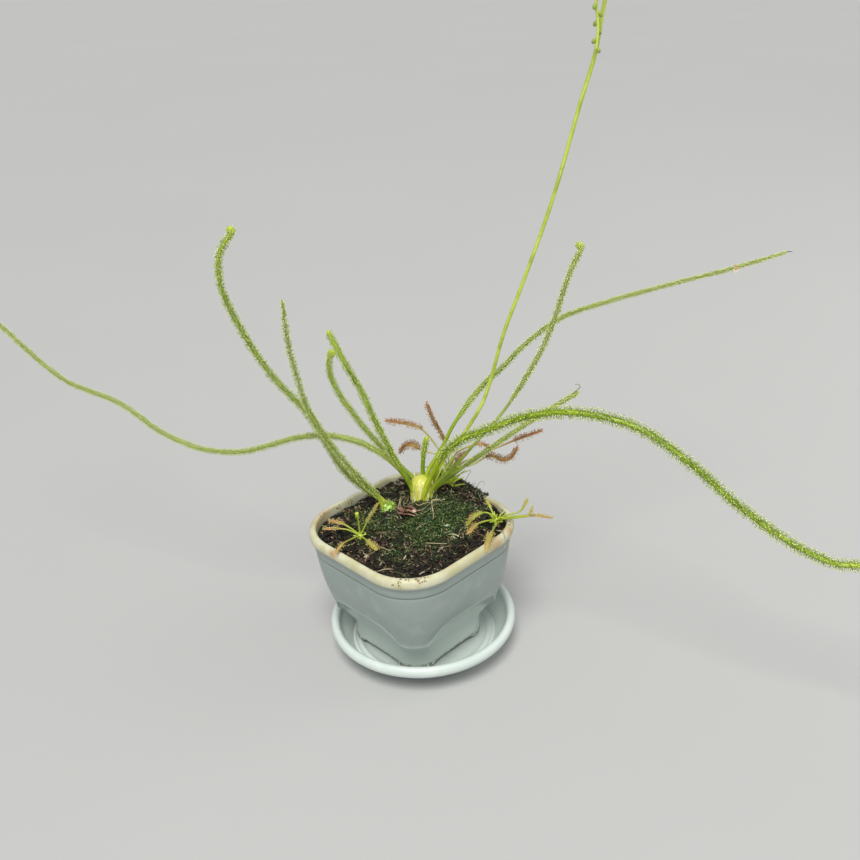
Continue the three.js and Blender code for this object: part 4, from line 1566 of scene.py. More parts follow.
    def moss(self) -> None:
        """Grows moss: short pointed leaves that crowd the green patches."""
        rng = np.random.default_rng(self.seed + 2)
        kept = [
            spot for spot in self.spots(rng, self.moss_count * 4)
            if self.mossy(*spot[:2]) * (0.35 + 0.65 * self.clod(*spot[:2])) > rng.uniform(0.06, 0.85)]
        places = np.vstack([np.array(kept[:self.moss_count]), self.rim_spots(rng)])
        count = len(places)
        turns = axes_from(rng.normal(size=(count, 3)) * [0.8, 0.8, 0.3] + [0, 0, 0.55], rng)
        reach = rng.gamma(4.0, 0.3, count) + 0.4
        bm = bmesh.new()
        bmesh.ops.create_circle(bm, cap_ends=False, radius=0.17, segments=3)
        edges, rise = bm.edges[:], [0.0] * 3
        for share, size in ((0.5, 1.0), (1.0, 0.12)):
            edges, verts = extrude(bm, edges)
            middle = sum((v.co for v in verts), Vector()) / 3
            for vert in verts:
                vert.co = middle + (vert.co - middle) * size
            bmesh.ops.translate(bm, vec=(0.16 * share, 0.0, 0.0), verts=verts)
            rise += [share] * 3
        settle(bm)
        sizes = rng.uniform(0.8, 1.7, (count, 3))
        mesh = Copies(bm, rise).mesh("moss_leaves", places, turns, sizes, reach, shade=rng.uniform(0, 1, count))
        finish_piece(mesh, "moss_leaves", [Moss()], "peat")

    def fibres(self) -> None:
        """Scatters bent root and peat fibres over the bed."""
        rng = np.random.default_rng(self.seed + 1)
        count = self.fibre_count
        places = self.spots(rng, count, 3.0)
        places[:, 2] += rng.uniform(0.1, 0.7, count)
        turns = axes_from(rng.normal(size=(count, 3)) * [1, 1, 0.25], rng)
        length = rng.gamma(3.0, 0.7, count)[:, None] + 0.7
        thick = rng.uniform(0.4, 1.15, (count, 1))
        bend = rng.uniform(0.3, 1.0, (count, 1)) * length
        bm = bmesh.new()
        bmesh.ops.create_circle(bm, cap_ends=False, radius=0.15, segments=3)
        edges = bm.edges[:]
        bow = [math.sin(step / self.fibre_steps * math.pi) for step in range(self.fibre_steps + 1)]
        for before, after in zip(bow, bow[1:]):
            edges, verts = extrude(bm, edges)
            bmesh.ops.translate(bm, vec=(0.25 * (after - before), 0.0, 1.0 / self.fibre_steps), verts=verts)
        bmesh.ops.holes_fill(bm, edges=bm.edges)
        bmesh.ops.translate(bm, vec=(0.0, 0.0, -0.5), verts=bm.verts)
        settle(bm)
        green = self.over(places, self.mossy) * rng.uniform(0.0, 1.2, count)
        # Fibres are painted darker in the gaps between clods: painted shade over their own random tone.
        shade = (0.4 + 0.85 * rng.beta(1.2, 1.4, count)) * (0.25 + 0.75 * self.over(places, self.clod))
        sizes = np.hstack([bend, thick, length]) * [0.5, 1.0, 1.0]
        mesh = Copies(bm).mesh(
            "peat_fibres", places, turns, sizes, np.zeros(count), shade=shade, green=np.minimum(green, 0.9))
        finish = Peat(name="peat_fibre", scattered=True, roughness=0.5, green=(0.2, 0.3, 0.09))
        finish_piece(mesh, "peat_fibres", [finish], "peat")

    def build(self) -> None:
        """Builds the bed, crumbs, moss and fibres."""
        for part in (self.bed, self.crumbs, self.moss, self.fibres):
            part()


@dataclass
class Litter:
    """Straws, root threads, a dead leaf and pale flakes that lie on the peat."""

    soil: Soil
    crown: Pair = (-7.5, 11.5)
    rim_thread_count: int = 46
    seed: int = 41
    straws: tuple[Strand, ...] = (
        Strand(((0.5, 10.0, 76.6), (2.0, 8.6, 74.2), (3.8, 7.4, 71.6), (5.4, 6.1, 69.4)), (0.32, 0.25)),
        Strand(((0.3, 10.2, 76.4), (2.2, 12.0, 76.6), (3.7, 13.3, 76.2), (4.8, 14.9, 76.8)), (0.3, 0.2)),
        Strand(((-20.0, 8.0, 71.0), (-16.0, 3.0, 70.6), (-12.0, -1.5, 70.0), (-8.0, -3.0, 68.6)),
           (0.3, 0.2)),
        Strand(((14.0, -8.0, 66.6), (18.0, -6.0, 67.0), (22.0, -2.0, 66.6)), (0.22, 0.15)),
        Strand(((-6.0, -24.0, 66.4), (0.0, -25.0, 67.0), (6.0, -23.6, 66.5)),
           (0.22, 0.16)),
        Strand(((22.0, 6.0, 66.6), (19.5, 10.0, 67.4), (18.6, 15.0, 67.0)), (0.2, 0.16)))
    threads: tuple[Strand, ...] = (
        Strand(((-8.0, 36.0, 70.0), (-5.1, 39.1, 72.3), (-4.2, 40.0, 74.0), (-3.4, 40.8, 76.3), (-2.5, 41.2, 78.0),
                (-2.4, 40.2, 79.7)), (0.2, 0.1)),
        Strand(((3.5, 37.0, 69.0), (4.5, 38.0, 71.1), (4.8, 38.3, 72.9), (5.1, 38.7, 74.6), (6.0, 39.6, 76.0),
                (7.2, 40.6, 75.8), (7.8, 40.6, 74.4)), (0.2, 0.1)),
        Strand(((-1.0, 36.0, 69.5), (-0.4, 38.5, 71.5), (1.4, 40.0, 72.6), (2.6, 39.0, 74.0), (1.6, 38.2, 75.0)),
               (0.16, 0.09)),
        Strand(((10.0, 37.0, 70.4), (14.0, 34.6, 69.4), (18.6, 32.9, 68.4), (23.1, 29.0, 67.0)), (0.22, 0.14)),
        Strand(((36.0, 17.5, 70.4), (39.7, 18.0, 71.0), (42.6, 15.9, 69.9), (43.6, 15.5, 68.3), (45.2, 16.1, 66.4),
                (46.2, 17.2, 65.4)), (0.3, 0.16)),
        Strand(((43.4, 15.6, 69.0), (43.7, 17.3, 68.0), (43.4, 15.4, 66.6), (43.6, 14.6, 65.3)), (0.22, 0.14)),
        Strand(((-14.0, 34.0, 70.0), (-15.0, 37.0, 73.0), (-17.0, 38.0, 74.0), (-18.0, 36.6, 75.6)), (0.16, 0.09)))
    dead_leaf: tuple[Strand, ...] = (
        Strand(((-12.6, 0.4, 70.4), (-10.6, -1.4, 73.0), (-8.2, -0.8, 72.0), (-6.0, -0.6, 73.4), (-4.0, 2.0, 71.6)),
               (1.5, 0.8), 0.24),
        Strand(((-11.0, -2.2, 69.8), (-9.2, -3.0, 71.6), (-7.0, -1.4, 71.0), (-4.6, -1.2, 71.8), (-3.0, 1.4, 70.2)),
               (1.1, 0.5), 0.25),
        Strand(((-10.2, 1.6, 72.0), (-7.4, 1.0, 74.2), (-5.2, 2.8, 73.0), (-4.0, 1.8, 71.6)), (1.0, 1.2), 0.2),
        Strand(((-4.2, 3.4, 71.8), (-2.6, 4.6, 72.2), (0.0, 6.4, 71.2)), (0.45, 0.2), 0.5))
    dry_tips: tuple[Strand, ...] = (
        Strand(((36.3, 74.2, 121.2), (37.6, 75.6, 123.3), (38.6, 76.6, 124.8), (37.9, 75.9, 126.4),
                (36.9, 74.9, 126.2)), (0.3, 0.1)),
        Strand(((63.6, 220.6, 159.8), (65.2, 223.6, 160.2), (66.4, 226.0, 159.9)), (0.42, 0.16)))
    flakes: tuple[tuple[float, float, float], ...] = (
        (13.6, 7.0, 1.3), (15.4, 8.6, 0.9), (2.3, 4.3, 0.7), (-16.0, -4.6, 0.6), (-14.4, 9.6, 0.6), (20.0, -14.0, 0.7),
        (3.0, -26.0, 0.6), (-27.0, 6.0, 0.6), (10.4, 21.0, 0.7))

    def collar(self) -> list[Strand]:
        """Bends straws round the main crown's foot.

        Returns:
            The straws.
        """
        rng = np.random.default_rng(self.seed)
        strands = []
        for lift, spread, radius in ((1.1, 7.0, 0.26), (0.9, 8.4, 0.17), (0.9, 10.0, 0.14)):
            first = rng.uniform(-185, -160)
            points = []
            for angle in np.linspace(first, rng.uniform(10, 50), 9):
                reach = spread + rng.uniform(-0.6, 0.6) + 1.6 * max(0.0, (-angle - 90) / 90)
                x = self.crown[0] + reach * math.cos(math.radians(angle))
                y = self.crown[1] + reach * math.sin(math.radians(angle))
                points.append((x, y, self.soil.height(x, y) + lift + rng.uniform(0.0, 0.35)))
            strands.append(Strand(tuple(points), (radius, radius * 0.5)))
        return strands

    def rim_threads(self) -> list[Strand]:
        """Raises short root threads out of the peat along the back of the rim.

        Returns:
            The threads.
        """
        rng = np.random.default_rng(self.seed + 1)
        strands = []
        for _ in range(self.rim_thread_count):
            point = np.array([rng.uniform(-24, 12), rng.uniform(31.5, 37.5), 69.0])
            heading = rng.normal(size=3) * [1, 0.7, 0.4] + [0, 0.3, 1.0]
            points = []
            for _ in range(5):
                points.append(tuple(point))
                heading += rng.normal(size=3) * 0.55
                point = point + heading / np.linalg.norm(heading) * rng.uniform(0.7, 1.5)
                point[1] = min(point[1], 41.0)
            strands.append(Strand(tuple(points), (0.15, 0.07)))
        return strands

    def pale_flakes(self) -> Shape:
        """Crumples flakes that lie on the bed.

        Returns:
            The flakes, in millimetres.
        """
        rng = np.random.default_rng(self.seed + 2)
        bm = bmesh.new()
        for x, y, size in self.flakes:
            turn = Matrix.Rotation(rng.uniform(0, ANY_TURN), 4, "Z") @ Matrix.Rotation(rng.uniform(-0.5, 0.5), 4, "X")
            place = Matrix.Translation((x, y, self.soil.height(x, y) + 0.45 * size)) @ turn
            for vert in add_ball(bm, place, (size, size * rng.uniform(0.45, 0.8), size * 0.28)):
                vert.co += Vector(noise.noise_vector(vert.co * 1.3)) * (0.3 * size)
        return bm

    def build(self) -> None:
        """Builds the straws, threads, dead leaf, flakes and dried tips."""
        straw = Tissue("straw", (0.4, 0.32, 0.18), (0.44, 0.36, 0.2), (0.64, 0.56, 0.36), (0.2, 0.14, 0.06),
                       (0.56, 0.5, 0.34), odd=(0.26, 0.17, 0.08), roughness=0.6)
        root = Tissue("root_thread", (0.2, 0.16, 0.1), (0.38, 0.34, 0.22), (0.6, 0.56, 0.4), (0.16, 0.12, 0.07),
                      (0.55, 0.54, 0.38), roughness=0.65)
        dead = Tissue("dead_leaf", (0.42, 0.24, 0.16), (0.2, 0.08, 0.055), (0.5, 0.33, 0.25), (0.06, 0.02, 0.015),
                      (0.58, 0.42, 0.32), roughness=0.5, relief=0.8)
        flake = Tissue("pale_flake", (0.36, 0.46, 0.3), (0.34, 0.44, 0.3), (0.55, 0.6, 0.45), (0.14, 0.22, 0.1),
                       (0.4, 0.48, 0.34), roughness=0.65)
        dry = Tissue("dry_tip", (0.3, 0.3, 0.1), (0.16, 0.11, 0.07), (0.26, 0.22, 0.17), (0.08, 0.05, 0.04),
                     (0.2, 0.18, 0.2), roughness=0.6)
        finish_piece(bind_strands([*self.collar(), *self.straws]), "straws", [straw], "peat")
        finish_piece(bind_strands([*self.threads, *self.rim_threads()], 5), "root_threads", [root], "peat")
        finish_piece(bind_strands(self.dead_leaf, 10, 0.35), "dead_leaf", [dead], "peat")
        finish_piece(self.pale_flakes(), "pale_flakes", [flake], "peat")
        finish_piece(bind_strands(self.dry_tips, 7, 0.3), "dry_tips", [dry], "leaf_tissue")


# ---- crowns


@dataclass
class Bulb:
    """A crown: a bulb ribbed by the leaf bases that wrap it."""

    name: str
    node: str
    finish: Tissue
    centre: Pair
    profile: tuple[Pair, ...]
    ribs: int
    rib_depth: float
    sides: int = 56
    rows: int = 30

    def build(self) -> None:
        """Lofts the bulb and dresses it."""
        radii, heights = zip(*self.profile)
        foot, top = heights[0], heights[-1]
        for row in range(self.rows):
            share = row / self.rows
            z = lerp(foot, top, 1 - (1 - share) ** 1.5)
            radius = max(float(np.interp(z, heights, radii)), 0.05)
            laid = []
            for k in range(self.sides):
                angle = FULL_TURN * k / self.sides
                wave = math.sin(self.ribs * angle + 0.8 * math.sin(z * 0.25))
                reach = radius * (1 + self.rib_depth * (wave + 0.4 * math.sin(2.7 * self.ribs * angle)))
                laid.append((reach * math.cos(angle), reach * math.sin(angle), z))
            ring = [Vector((self.centre[0] + x, self.centre[1] + y, z)) for x, y, _ in laid]
            if row:
                loft.grow(ring)
            else:
                loft = Loft(ring)
            loft.mark([Vector(v) for v in laid], share)
        bm = loft.close(Vector((*self.centre, foot)), Vector((*self.centre, top)))
        finish_piece(bm, self.name, [self.finish], self.finish.name, self.node)


def crown_sheaths() -> list[Strand]:
    """Lays out the old leaf bases that wrap the main crown, each closed to a point on it.

    Returns:
        The leaf bases.
    """
    strands = []
    for turn, lift, radius in (
            (-140, 82.0, 1.7), (-98, 79.5, 1.9), (-62, 84.0, 1.6), (-25, 81.0, 1.8), (20, 85.0, 1.6), (70, 82.0, 1.8),
            (120, 84.0, 1.7), (165, 85.5, 1.6)):
        points = []
        for share, reach in ((0.0, 4.0), (0.3, 4.9), (0.6, 5.2), (0.85, 5.3), (1.0, 5.2)):
            swing = math.radians(turn) + 0.25 * share
            points.append((-8.5 + reach * math.cos(swing), 12.5 + reach * math.sin(swing), lerp(64.0, lift, share)))
        strands.append(Strand(tuple(points), (radius, 0.3)))
    return strands


@dataclass
class Scales:
    """Plump young scales and short hairs that cover the side crown."""

    middle: Point = (-20.0, -0.6, 68.6)
    reach: float = 3.2
    count: int = 16
    hair_count: int = 260
    hair_stalk: float = 0.09
    hair_bead: float = 0.14
    seed: int = 61

    def build(self) -> None:
        """Sets the scales in a spiral from the top down, and hairs between them."""
        rng = np.random.default_rng(self.seed)
        bm = new_skin()
        along = bm.verts.layers.float["along"]
        low, high = self.middle[2] - self.reach, self.middle[2] + self.reach
        for i in range(self.count):
            rise = 1 - 1.25 * (i + 0.5) / self.count
            angle = GOLDEN * i
            flat = math.sqrt(max(0.0, 1 - rise**2))
            out = Vector((flat * math.cos(angle), flat * math.sin(angle), rise))
            size = self.reach * rng.uniform(0.42, 0.58)
            place = Matrix.Translation(Vector(self.middle) + out * (self.reach * 0.78)) @ turn_to(out)
            for vert in add_ball(bm, place, (size * 0.8, size, size * 0.75)):
                vert[along] = 0.35 + 0.65 * smoothstep(vert.co.z, low, high)
        finish_piece(bm, "young_scales", [Plain("young_tissue")], "young_tissue")
        count = self.hair_count
        out = rng.normal(size=(count, 3))
        out[:, 2] = np.abs(out[:, 2]) * 0.9 - 0.25
        out /= np.linalg.norm(out, axis=1, keepdims=True)
        places = np.array(self.middle) + out * self.reach * rng.uniform(0.95, 1.15, (count, 1))
        turns = axes_from(out + rng.normal(0, 0.3, (count, 3)), rng)
        reach = rng.uniform(0.4, 1.0, count)
        mesh = tentacle_copies(self.hair_stalk, self.hair_bead).mesh(
            "young_hairs", places, turns, np.ones((count, 3)), reach, shade=rng.uniform(0, 1, count))
        finish_piece(mesh, "young_hairs", HAIRS, "young_tissue")


@dataclass
class Fly:
    """A small fly stuck to the long right leaf."""

    middle: Point = (52.4, 191.4, 156.4)
    along: Point = (0.1, 0.12, 1.0)
    facing: float = 46.5
    bodies: tuple[Point, ...] = ((-1.1, 1.1, 1.35), (0.5, 0.95, 0.95), (1.65, 0.65, 0.6))

    def build(self) -> None:
        """Builds the body from three plump parts, six legs and two folded wings."""
        shell = Tissue("fly_shell", (0.5, 0.28, 0.1), (0.74, 0.5, 0.24), (0.8, 0.6, 0.34), (0.34, 0.18, 0.08),
                       (0.6, 0.4, 0.2), roughness=0.45)
        wing = Tissue("fly_wing", (0.7, 0.62, 0.5), (0.74, 0.68, 0.56), (0.8, 0.76, 0.66), (0.6, 0.5, 0.38),
                      (0.7, 0.64, 0.5), roughness=0.3)
        turn = turn_to(Vector(self.along)) @ Matrix.Rotation(math.radians(self.facing), 4, "Z")
        here = Matrix.Translation(self.middle) @ turn
        body, legs, wings = bmesh.new(), [], bmesh.new()
        for z, wide, tall in self.bodies:
            add_ball(body, here @ Matrix.Translation((0, 0, z)), (wide, wide * 0.95, tall))
        for side in (-1, 1):
            for z in (0.0, 0.5, 1.0):
                points = [(side * 0.6, -0.4, z), (side * 1.5, -0.2, z + 0.5), (side * 2.0, 0.5, z - 0.5)]
                legs.append(Strand(tuple(tuple(here @ Vector(p)) for p in points), (0.1, 0.06)))
            fold = here @ Matrix.Translation((side * 0.7, -1.0, -1.0)) @ Matrix.Rotation(side * 0.35, 4, "Y")
            add_ball(wings, fold, (0.75, 0.08, 1.7))
        finish_piece(body, "fly_body", [shell], "leaf_tissue")
        finish_piece(bind_strands(legs, 5, 0.3), "fly_legs", [shell], "leaf_tissue")
        finish_piece(wings, "fly_wings", [wing], "leaf_tissue")


# ---- thread leaves


class Coil(Enum):
    """Which way a young leaf's tip curls over, as seen from the front."""

    NONE = 0
    LEFT = -1
    RIGHT = 1


@dataclass
class ThreadLeaf:
    """A thread leaf: its round blade, and tentacles from a bare foot to the tip."""

    name: str
    radius: Point
    reach: float
    bare: float
    points: tuple[Point, ...]
    coil: Coil = Coil.NONE
    coil_radius: float = 1.3
    coil_turn: float = 470.0
    coil_steps: int = 48
    tone: tuple[float, ...] = (0.0, 0.0)
    per_mm: float = 10.0
    sides: int = 12
    step: float = 1.3
    bead: float = 0.29
    stalk: float = 0.17
    stem: Stem = field(init=False)

    def section(self, share: float) -> Pair:
        """Returns the section's half sizes at a share of the length."""
        foot, middle, tip = self.radius
        return (lerp(foot, middle, share / 0.3) if share < 0.3 else lerp(middle, tip, (share - 0.3) / 0.7),) * 2

    def coiled(self, along: Vector, end: Station) -> list[Station]:
        """Curls the tip over.

        Args:
            along: The leaf's heading where the coil starts.
            end: The station there.

        Returns:
            The stations from there to the end of the coil.
        """
        inward = SIDEWAYS * self.coil.value
        inward = (inward - along * inward.dot(along)).normalized()
        centre = end.point + inward * self.coil_radius
        aside = inward.cross(along)
        stations = [end]
        for step in range(1, self.coil_steps + 1):
            share = step / self.coil_steps
            angle = math.radians(self.coil_turn) * share
            arm = self.coil_radius * (1 - 0.86 * share)
            radius = self.radius[2] * (1.3 - 0.4 * share)
            point = centre - inward * (arm * math.cos(angle)) + along * (arm * math.sin(angle))
            point += aside * (0.35 * math.sin(share * math.pi))
            distance = stations[-1].distance + (point - stations[-1].point).length
            stations.append(Station(point, (radius, radius), distance))
        return stations

    def blade(self) -> None:
        """Grows the leaf itself, with a rounded end."""
        route = Route(self.points)
        stations = route.stations(max(8, round(route.length / self.step)), self.section)
        if self.coil is not Coil.NONE:
            stations += self.coiled(route.heading(route.length), stations.pop())
        self.stem = Stem(stations, self.sides)
        last = stations[-1]
        radius, ahead = last.half[0], (last.point - stations[-2].point).normalized()
        for share in (0.5, 0.86):
            size, reach = radius * math.sqrt(1 - share**2), radius * share
            stations.append(Station(last.point + ahead * reach, (size, size), last.distance + reach))

        def swell(angle: float, distance: float) -> float:
            """Returns the share of the radius: two faint furrows and slow unevenness."""
            furrow = 0.06 * math.cos(2 * angle)
            return 1 + furrow + 0.05 * math.sin(distance * 0.55 + angle) + 0.03 * math.sin(distance * 1.9)

        bm = Stem(stations, self.sides).skin(last.point + ahead * radius, swell)
        along = np.array([v[bm.verts.layers.float["along"]] for v in bm.verts])
        mesh = finish_piece(bm, self.name + "_blade", [LEAF_SKIN], "leaf_tissue", self.name).data
        paint(mesh, "tone", np.interp(along, np.linspace(0, 1, len(self.tone)), self.tone))

    def tentacles(self, seed: int) -> None:
        """Raises the tentacles, evenly over the surface and out to the tip.

        Args:
            seed: For the random draws.
        """
        rng = np.random.default_rng(seed)
        end = self.stem.stations[-1].distance
        count = int((end - self.bare) * self.per_mm)
        distances = self.bare + (np.arange(count) + rng.uniform(0, 1, count)) / count * (end - self.bare)
        angles = (np.arange(count) * GOLDEN_FINE) % FULL_TURN + rng.normal(0, 0.2, count)
        spots = [self.stem.spot(float(distance), float(angle)) for distance, angle in zip(distances, angles)]
        places = np.array([point for point, _, _ in spots])
        directions = np.array([out + heading * 0.22 for _, out, heading in spots])
        turns = axes_from(directions + rng.normal(0, 0.16, (count, 3)), rng)
        grown = np.clip((distances - self.bare) / 14 + 0.35, 0, 1)
        if self.coil is not Coil.NONE:
            grown *= np.clip((end - distances - 5.0) / 5, 0.35, 1)
        elif self.radius[2] < 0.6:
            grown *= np.clip((end - distances) / 25 + 0.4, 0.4, 1)
        reach = self.reach * grown * rng.uniform(0.6, 1.12, count)
        sizes = (0.75 + 0.35 * rng.uniform(0, 1, count))[:, None] * np.ones((1, 3))
        mesh = tentacle_copies(self.stalk, self.bead).mesh(
            self.name + "_tentacles", places, turns, sizes, reach, shade=rng.uniform(0, 1, count))
        finish_piece(mesh, self.name + "_tentacles", HAIRS, "leaf_tissue")


THREAD_LEAVES = (
    ThreadLeaf("leaf_a", (1.3, 0.82, 0.45), 1.05, 30, (
        (-12.2, 10.4, 69), (-13.4, 9.6, 80), (-22, 1.5, 96.5), (-33, -6, 104), (-45, -15, 107), (-58, -24, 105),
        (-70, -32, 100), (-84, -41, 95), (-102, -50.5, 94), (-113, -56.5, 97), (-125, -61.5, 101.5),
        (-146.5, -69.5, 113.5), (-176, -83, 123), (-199.5, -90.5, 137.5), (-214, -94.5, 147.5), (-232, -100, 157),
        (-247, -104, 161)), tone=(0.1, 0.4, 0.6, 0.6, 0.3)),
    ThreadLeaf("leaf_b", (1.5, 1.0, 0.8), 1.5, 12, (
        (-21.2, 0.6, 66), (-22.8, 0.2, 69.6), (-26.6, -1.8, 73.4), (-32, -6, 79), (-37, -12.5, 89), (-43.5, -19, 108),
        (-49, -22.5, 121), (-61, -32, 141), (-70, -40, 166), (-74, -44, 186), (-73.5, -42.5, 201),
        (-70.5, -39.5, 207), (-68.5, -37.5, 210)), Coil.LEFT, tone=(0.3, 0.5, 0.3, 0.1, 0.0)),
    ThreadLeaf("leaf_c", (1.1, 0.64, 0.22), 1.6, 12, (
        (-19.8, -2.2, 65), (-23.3, -4.9, 77), (-26.9, -10.9, 87), (-31, -17.5, 99.5), (-35, -23.5, 113),
        (-39.5, -29, 129.5), (-41, -31, 142), (-43, -33, 163), (-42.5, -33.5, 183)),
        tone=(0.1, 0.4, 0.7, 1.0)),
    ThreadLeaf("leaf_d", (1.5, 1.1, 0.9), 1.3, 24, (
        (-9.4, 8.2, 69), (-10.6, 7.6, 80), (-15, 3.5, 93.5), (-18, 0.5, 104), (-24, -4, 123), (-27.5, -6, 134),
        (-31.5, -9.5, 145.5), (-37, -14, 163))),
    ThreadLeaf("leaf_e", (1.3, 1.0, 0.9), 1.2, 24, (
        (-12.8, 13.4, 69), (-15, 13.6, 80), (-23, 11, 88), (-31, 9, 94), (-44, 5.5, 106.5), (-56, 1.5, 124),
        (-59.5, 1.5, 132), (-58.5, 2, 141.5)), Coil.RIGHT, 1.35, tone=(0.0, 0.3, 0.2, 0.0)),
    ThreadLeaf("leaf_f", (1.15, 0.84, 0.35), 0.9, 48, (
        (-7.5, 13, 71), (-6.9, 14.6, 86), (-3, 22.5, 100), (0, 29, 112), (4, 45, 127), (8, 56, 134.5),
        (11, 66.5, 142), (16, 89, 151), (24, 116, 153.5), (38, 155, 155.5), (52, 192, 157), (64.5, 222.5, 160)),
        tone=(0.0, 0.1, 0.4, 0.8, 0.9)),
    ThreadLeaf("leaf_g", (1.05, 0.72, 0.68), 0.95, 72, (
        (-4.2, 12.5, 69), (-2.6, 13.2, 80), (6, 22, 93), (14, 31, 107), (22, 40, 121), (34, 52, 150),
        (38.5, 56.5, 166), (42.5, 60, 184), (44.5, 62.5, 192), (47, 64.5, 199)), Coil.LEFT,
        tone=(0.0, 0.2, 0.4, 0.8, 0.9, 0.0)),
    ThreadLeaf("leaf_h", (1.5, 1.35, 0.95), 2.0, 34, (
        (-5.4, 9.4, 68), (-4.3, 9.0, 77.5), (-2.7, 10.4, 83.5), (0, 12, 90.5), (5.4, 13.6, 101), (13.5, 17, 111),
        (24, 21, 117.5), (47.5, 31, 130), (68, 40, 134), (91, 50, 130), (114, 56.5, 117.5), (133, 63.5, 102),
        (157, 70.5, 88.5), (173, 77, 83), (180.5, 81.5, 83), (195, 87, 77), (207, 91, 70))),
    ThreadLeaf("leaf_i", (1.25, 0.86, 0.62), 0.85, 30, (
        (-5.8, 14.9, 68), (-4.6, 16.3, 77), (2, 24, 85.5), (6, 29, 90), (14, 39, 98.5), (20, 49, 105),
        (29.5, 64, 114.5), (38, 76, 122)), tone=(0.0, 0.2, 0.4, 0.8)),
    ThreadLeaf("leaf_j", (1.3, 1.25, 0.9), 0.9, 22, (
        (-10.4, 13.6, 72), (-9.8, 14.4, 84), (-9, 15, 96), (-7, 16, 106))),
)


# ---- flower stalk


@dataclass
class FlowerStalk:
    """The tall stalk that arches over and hangs its buds."""

    radius: float = 0.9
    end_radius: float = 0.6
    sides: int = 12
    step: float = 1.2
    buds: int = 17
    bud_span: float = 54.0
    bud_half: Pair = (1.05, 1.5)
    points: tuple[Point, ...] = (
        (-7.4, 16.6, 69), (-7, 18.2, 79), (-4, 21, 90), (2, 30, 103), (9.5, 38, 121), (11.5, 42.5, 133),
        (15.5, 47.5, 155.5), (21, 56, 181), (27.5, 64.5, 210), (31, 69, 228), (34, 73, 245.5), (36, 76, 258),
        (39, 81, 276), (40, 82.5, 286), (41.5, 83.5, 297), (44, 86, 311), (45, 86.6, 322), (44.6, 84.4, 329),
        (43, 80.8, 331), (41.6, 77.6, 327), (41.2, 76.6, 314), (41.8, 77.3, 296), (42.2, 78.2, 287),
        (41.8, 77.8, 278))

    def build(self) -> None:
        """Grows the stalk and its buds."""
        route = Route(self.points)

        def section(share: float) -> Pair:
            """Returns the section's half sizes at a share of the length."""
            slim = smoothstep(share * route.length, route.length - self.bud_span * 1.3, route.length)
            return (lerp(self.radius, self.end_radius, slim),) * 2

        stem = Stem(route.stations(round(route.length / self.step), section), self.sides)
        finish_piece(stem.skin(route.past_end(0.4)), "stalk_stem", [STALK_SKIN], "stalk_tissue", "flower_stalk")
        bm = bmesh.new()
        for i in range(self.buds):
            self.add_bud(bm, route, i)
        finish_piece(bm, "stalk_buds", [BUD_SKIN], "stalk_tissue")

    def add_bud(self, bm: Shape, route: Route, i: int) -> None:
        """Adds a bud to the hanging end.

        Args:
            bm: What it is added to.
            route: The stalk's route.
            i: The bud's number; even and odd ones hang on opposite sides.
        """
        share = i / (self.buds - 1)
        at = route.length - self.bud_span * (1 - share) - 0.4
        along = route.heading(at)
        aside = Matrix.Rotation(math.pi * i + 0.9 * math.sin(i * 2.1), 3, along) @ SIDEWAYS
        aside = (aside - along * aside.dot(along)).normalized()
        size = lerp(1.05, 0.85, share)
        width, height = (half * size for half in self.bud_half)
        place = Matrix.Translation(route.at(at) + aside * (self.radius + 0.35 * size))
        add_ball(bm, place @ turn_to((along + aside * 0.8).normalized()), (width, width, height))


# ---- spoon-leaved sundews


FAN = (
    Strand(((-5.6, 13.4, 74), (-4.1, 14.2, 78.0), (-3.3, 18.0, 84.1), (-2.8, 22.8, 91.2), (-2.4, 27.7, 97.8)),
           (0.6, 0.3)),
    Strand(((-5.8, 14.2, 74), (-4.5, 15.2, 78.0), (-3.7, 20.4, 82.9), (-3.3, 26.7, 88.3), (-2.5, 31.9, 92.6)),
           (0.5, 0.3)),
    Strand(((-6.2, 15.2, 73), (-4.9, 16.3, 76.8), (-4.2, 22.9, 81.0), (-3.8, 29.1, 83.6), (-2.7, 34.6, 84.5)),
           (0.55, 0.35)),
    Strand(((-6.2, 13.6, 75), (-5.2, 14.6, 79.2), (-4.6, 18.1, 88.1), (-4.8, 22.2, 94.7), (-5.1, 24.8, 99.2)),
           (0.6, 0.3)),
    Strand(((-6.4, 15.8, 73), (-5.3, 17.3, 76.7), (-5.2, 26.1, 82.1), (-5.1, 32.1, 88.2), (-4.9, 35.2, 94.4)),
           (0.5, 0.3)),
    Strand(((-6.6, 17.0, 74), (-5.3, 18.8, 76.7), (-4.6, 26.7, 78.0), (-3.2, 34.1, 79.4), (-1.1, 39.2, 80.2)),
           (0.45, 0.25)),
    Strand(((-6.0, 12.8, 75), (-4.8, 13.5, 79.2), (-4.6, 15.2, 87.1), (-4.4, 19.7, 94.2), (-4.4, 22.7, 98.1)),
           (0.55, 0.25)),
    Strand(((-13.6, -25.2, 66.0), (-13.5, -25.5, 73.0), (-13.6, -25.9, 78.6)),
           (0.5, 0.35)),
    Strand(((-13.6, -25.9, 78.2), (-13.6, -26.0, 79.0), (-13.6, -26.0, 80.0), (-13.6, -26.1, 80.6)), (1.0, 0.9)))


class SpoonLeaf(NamedTuple):
    """A leaf of a small sundew: its route from the crown, the blade's share and half width, and its odd colour."""

    points: tuple[Point, ...]
    blade: float
    half: float
    tone: float


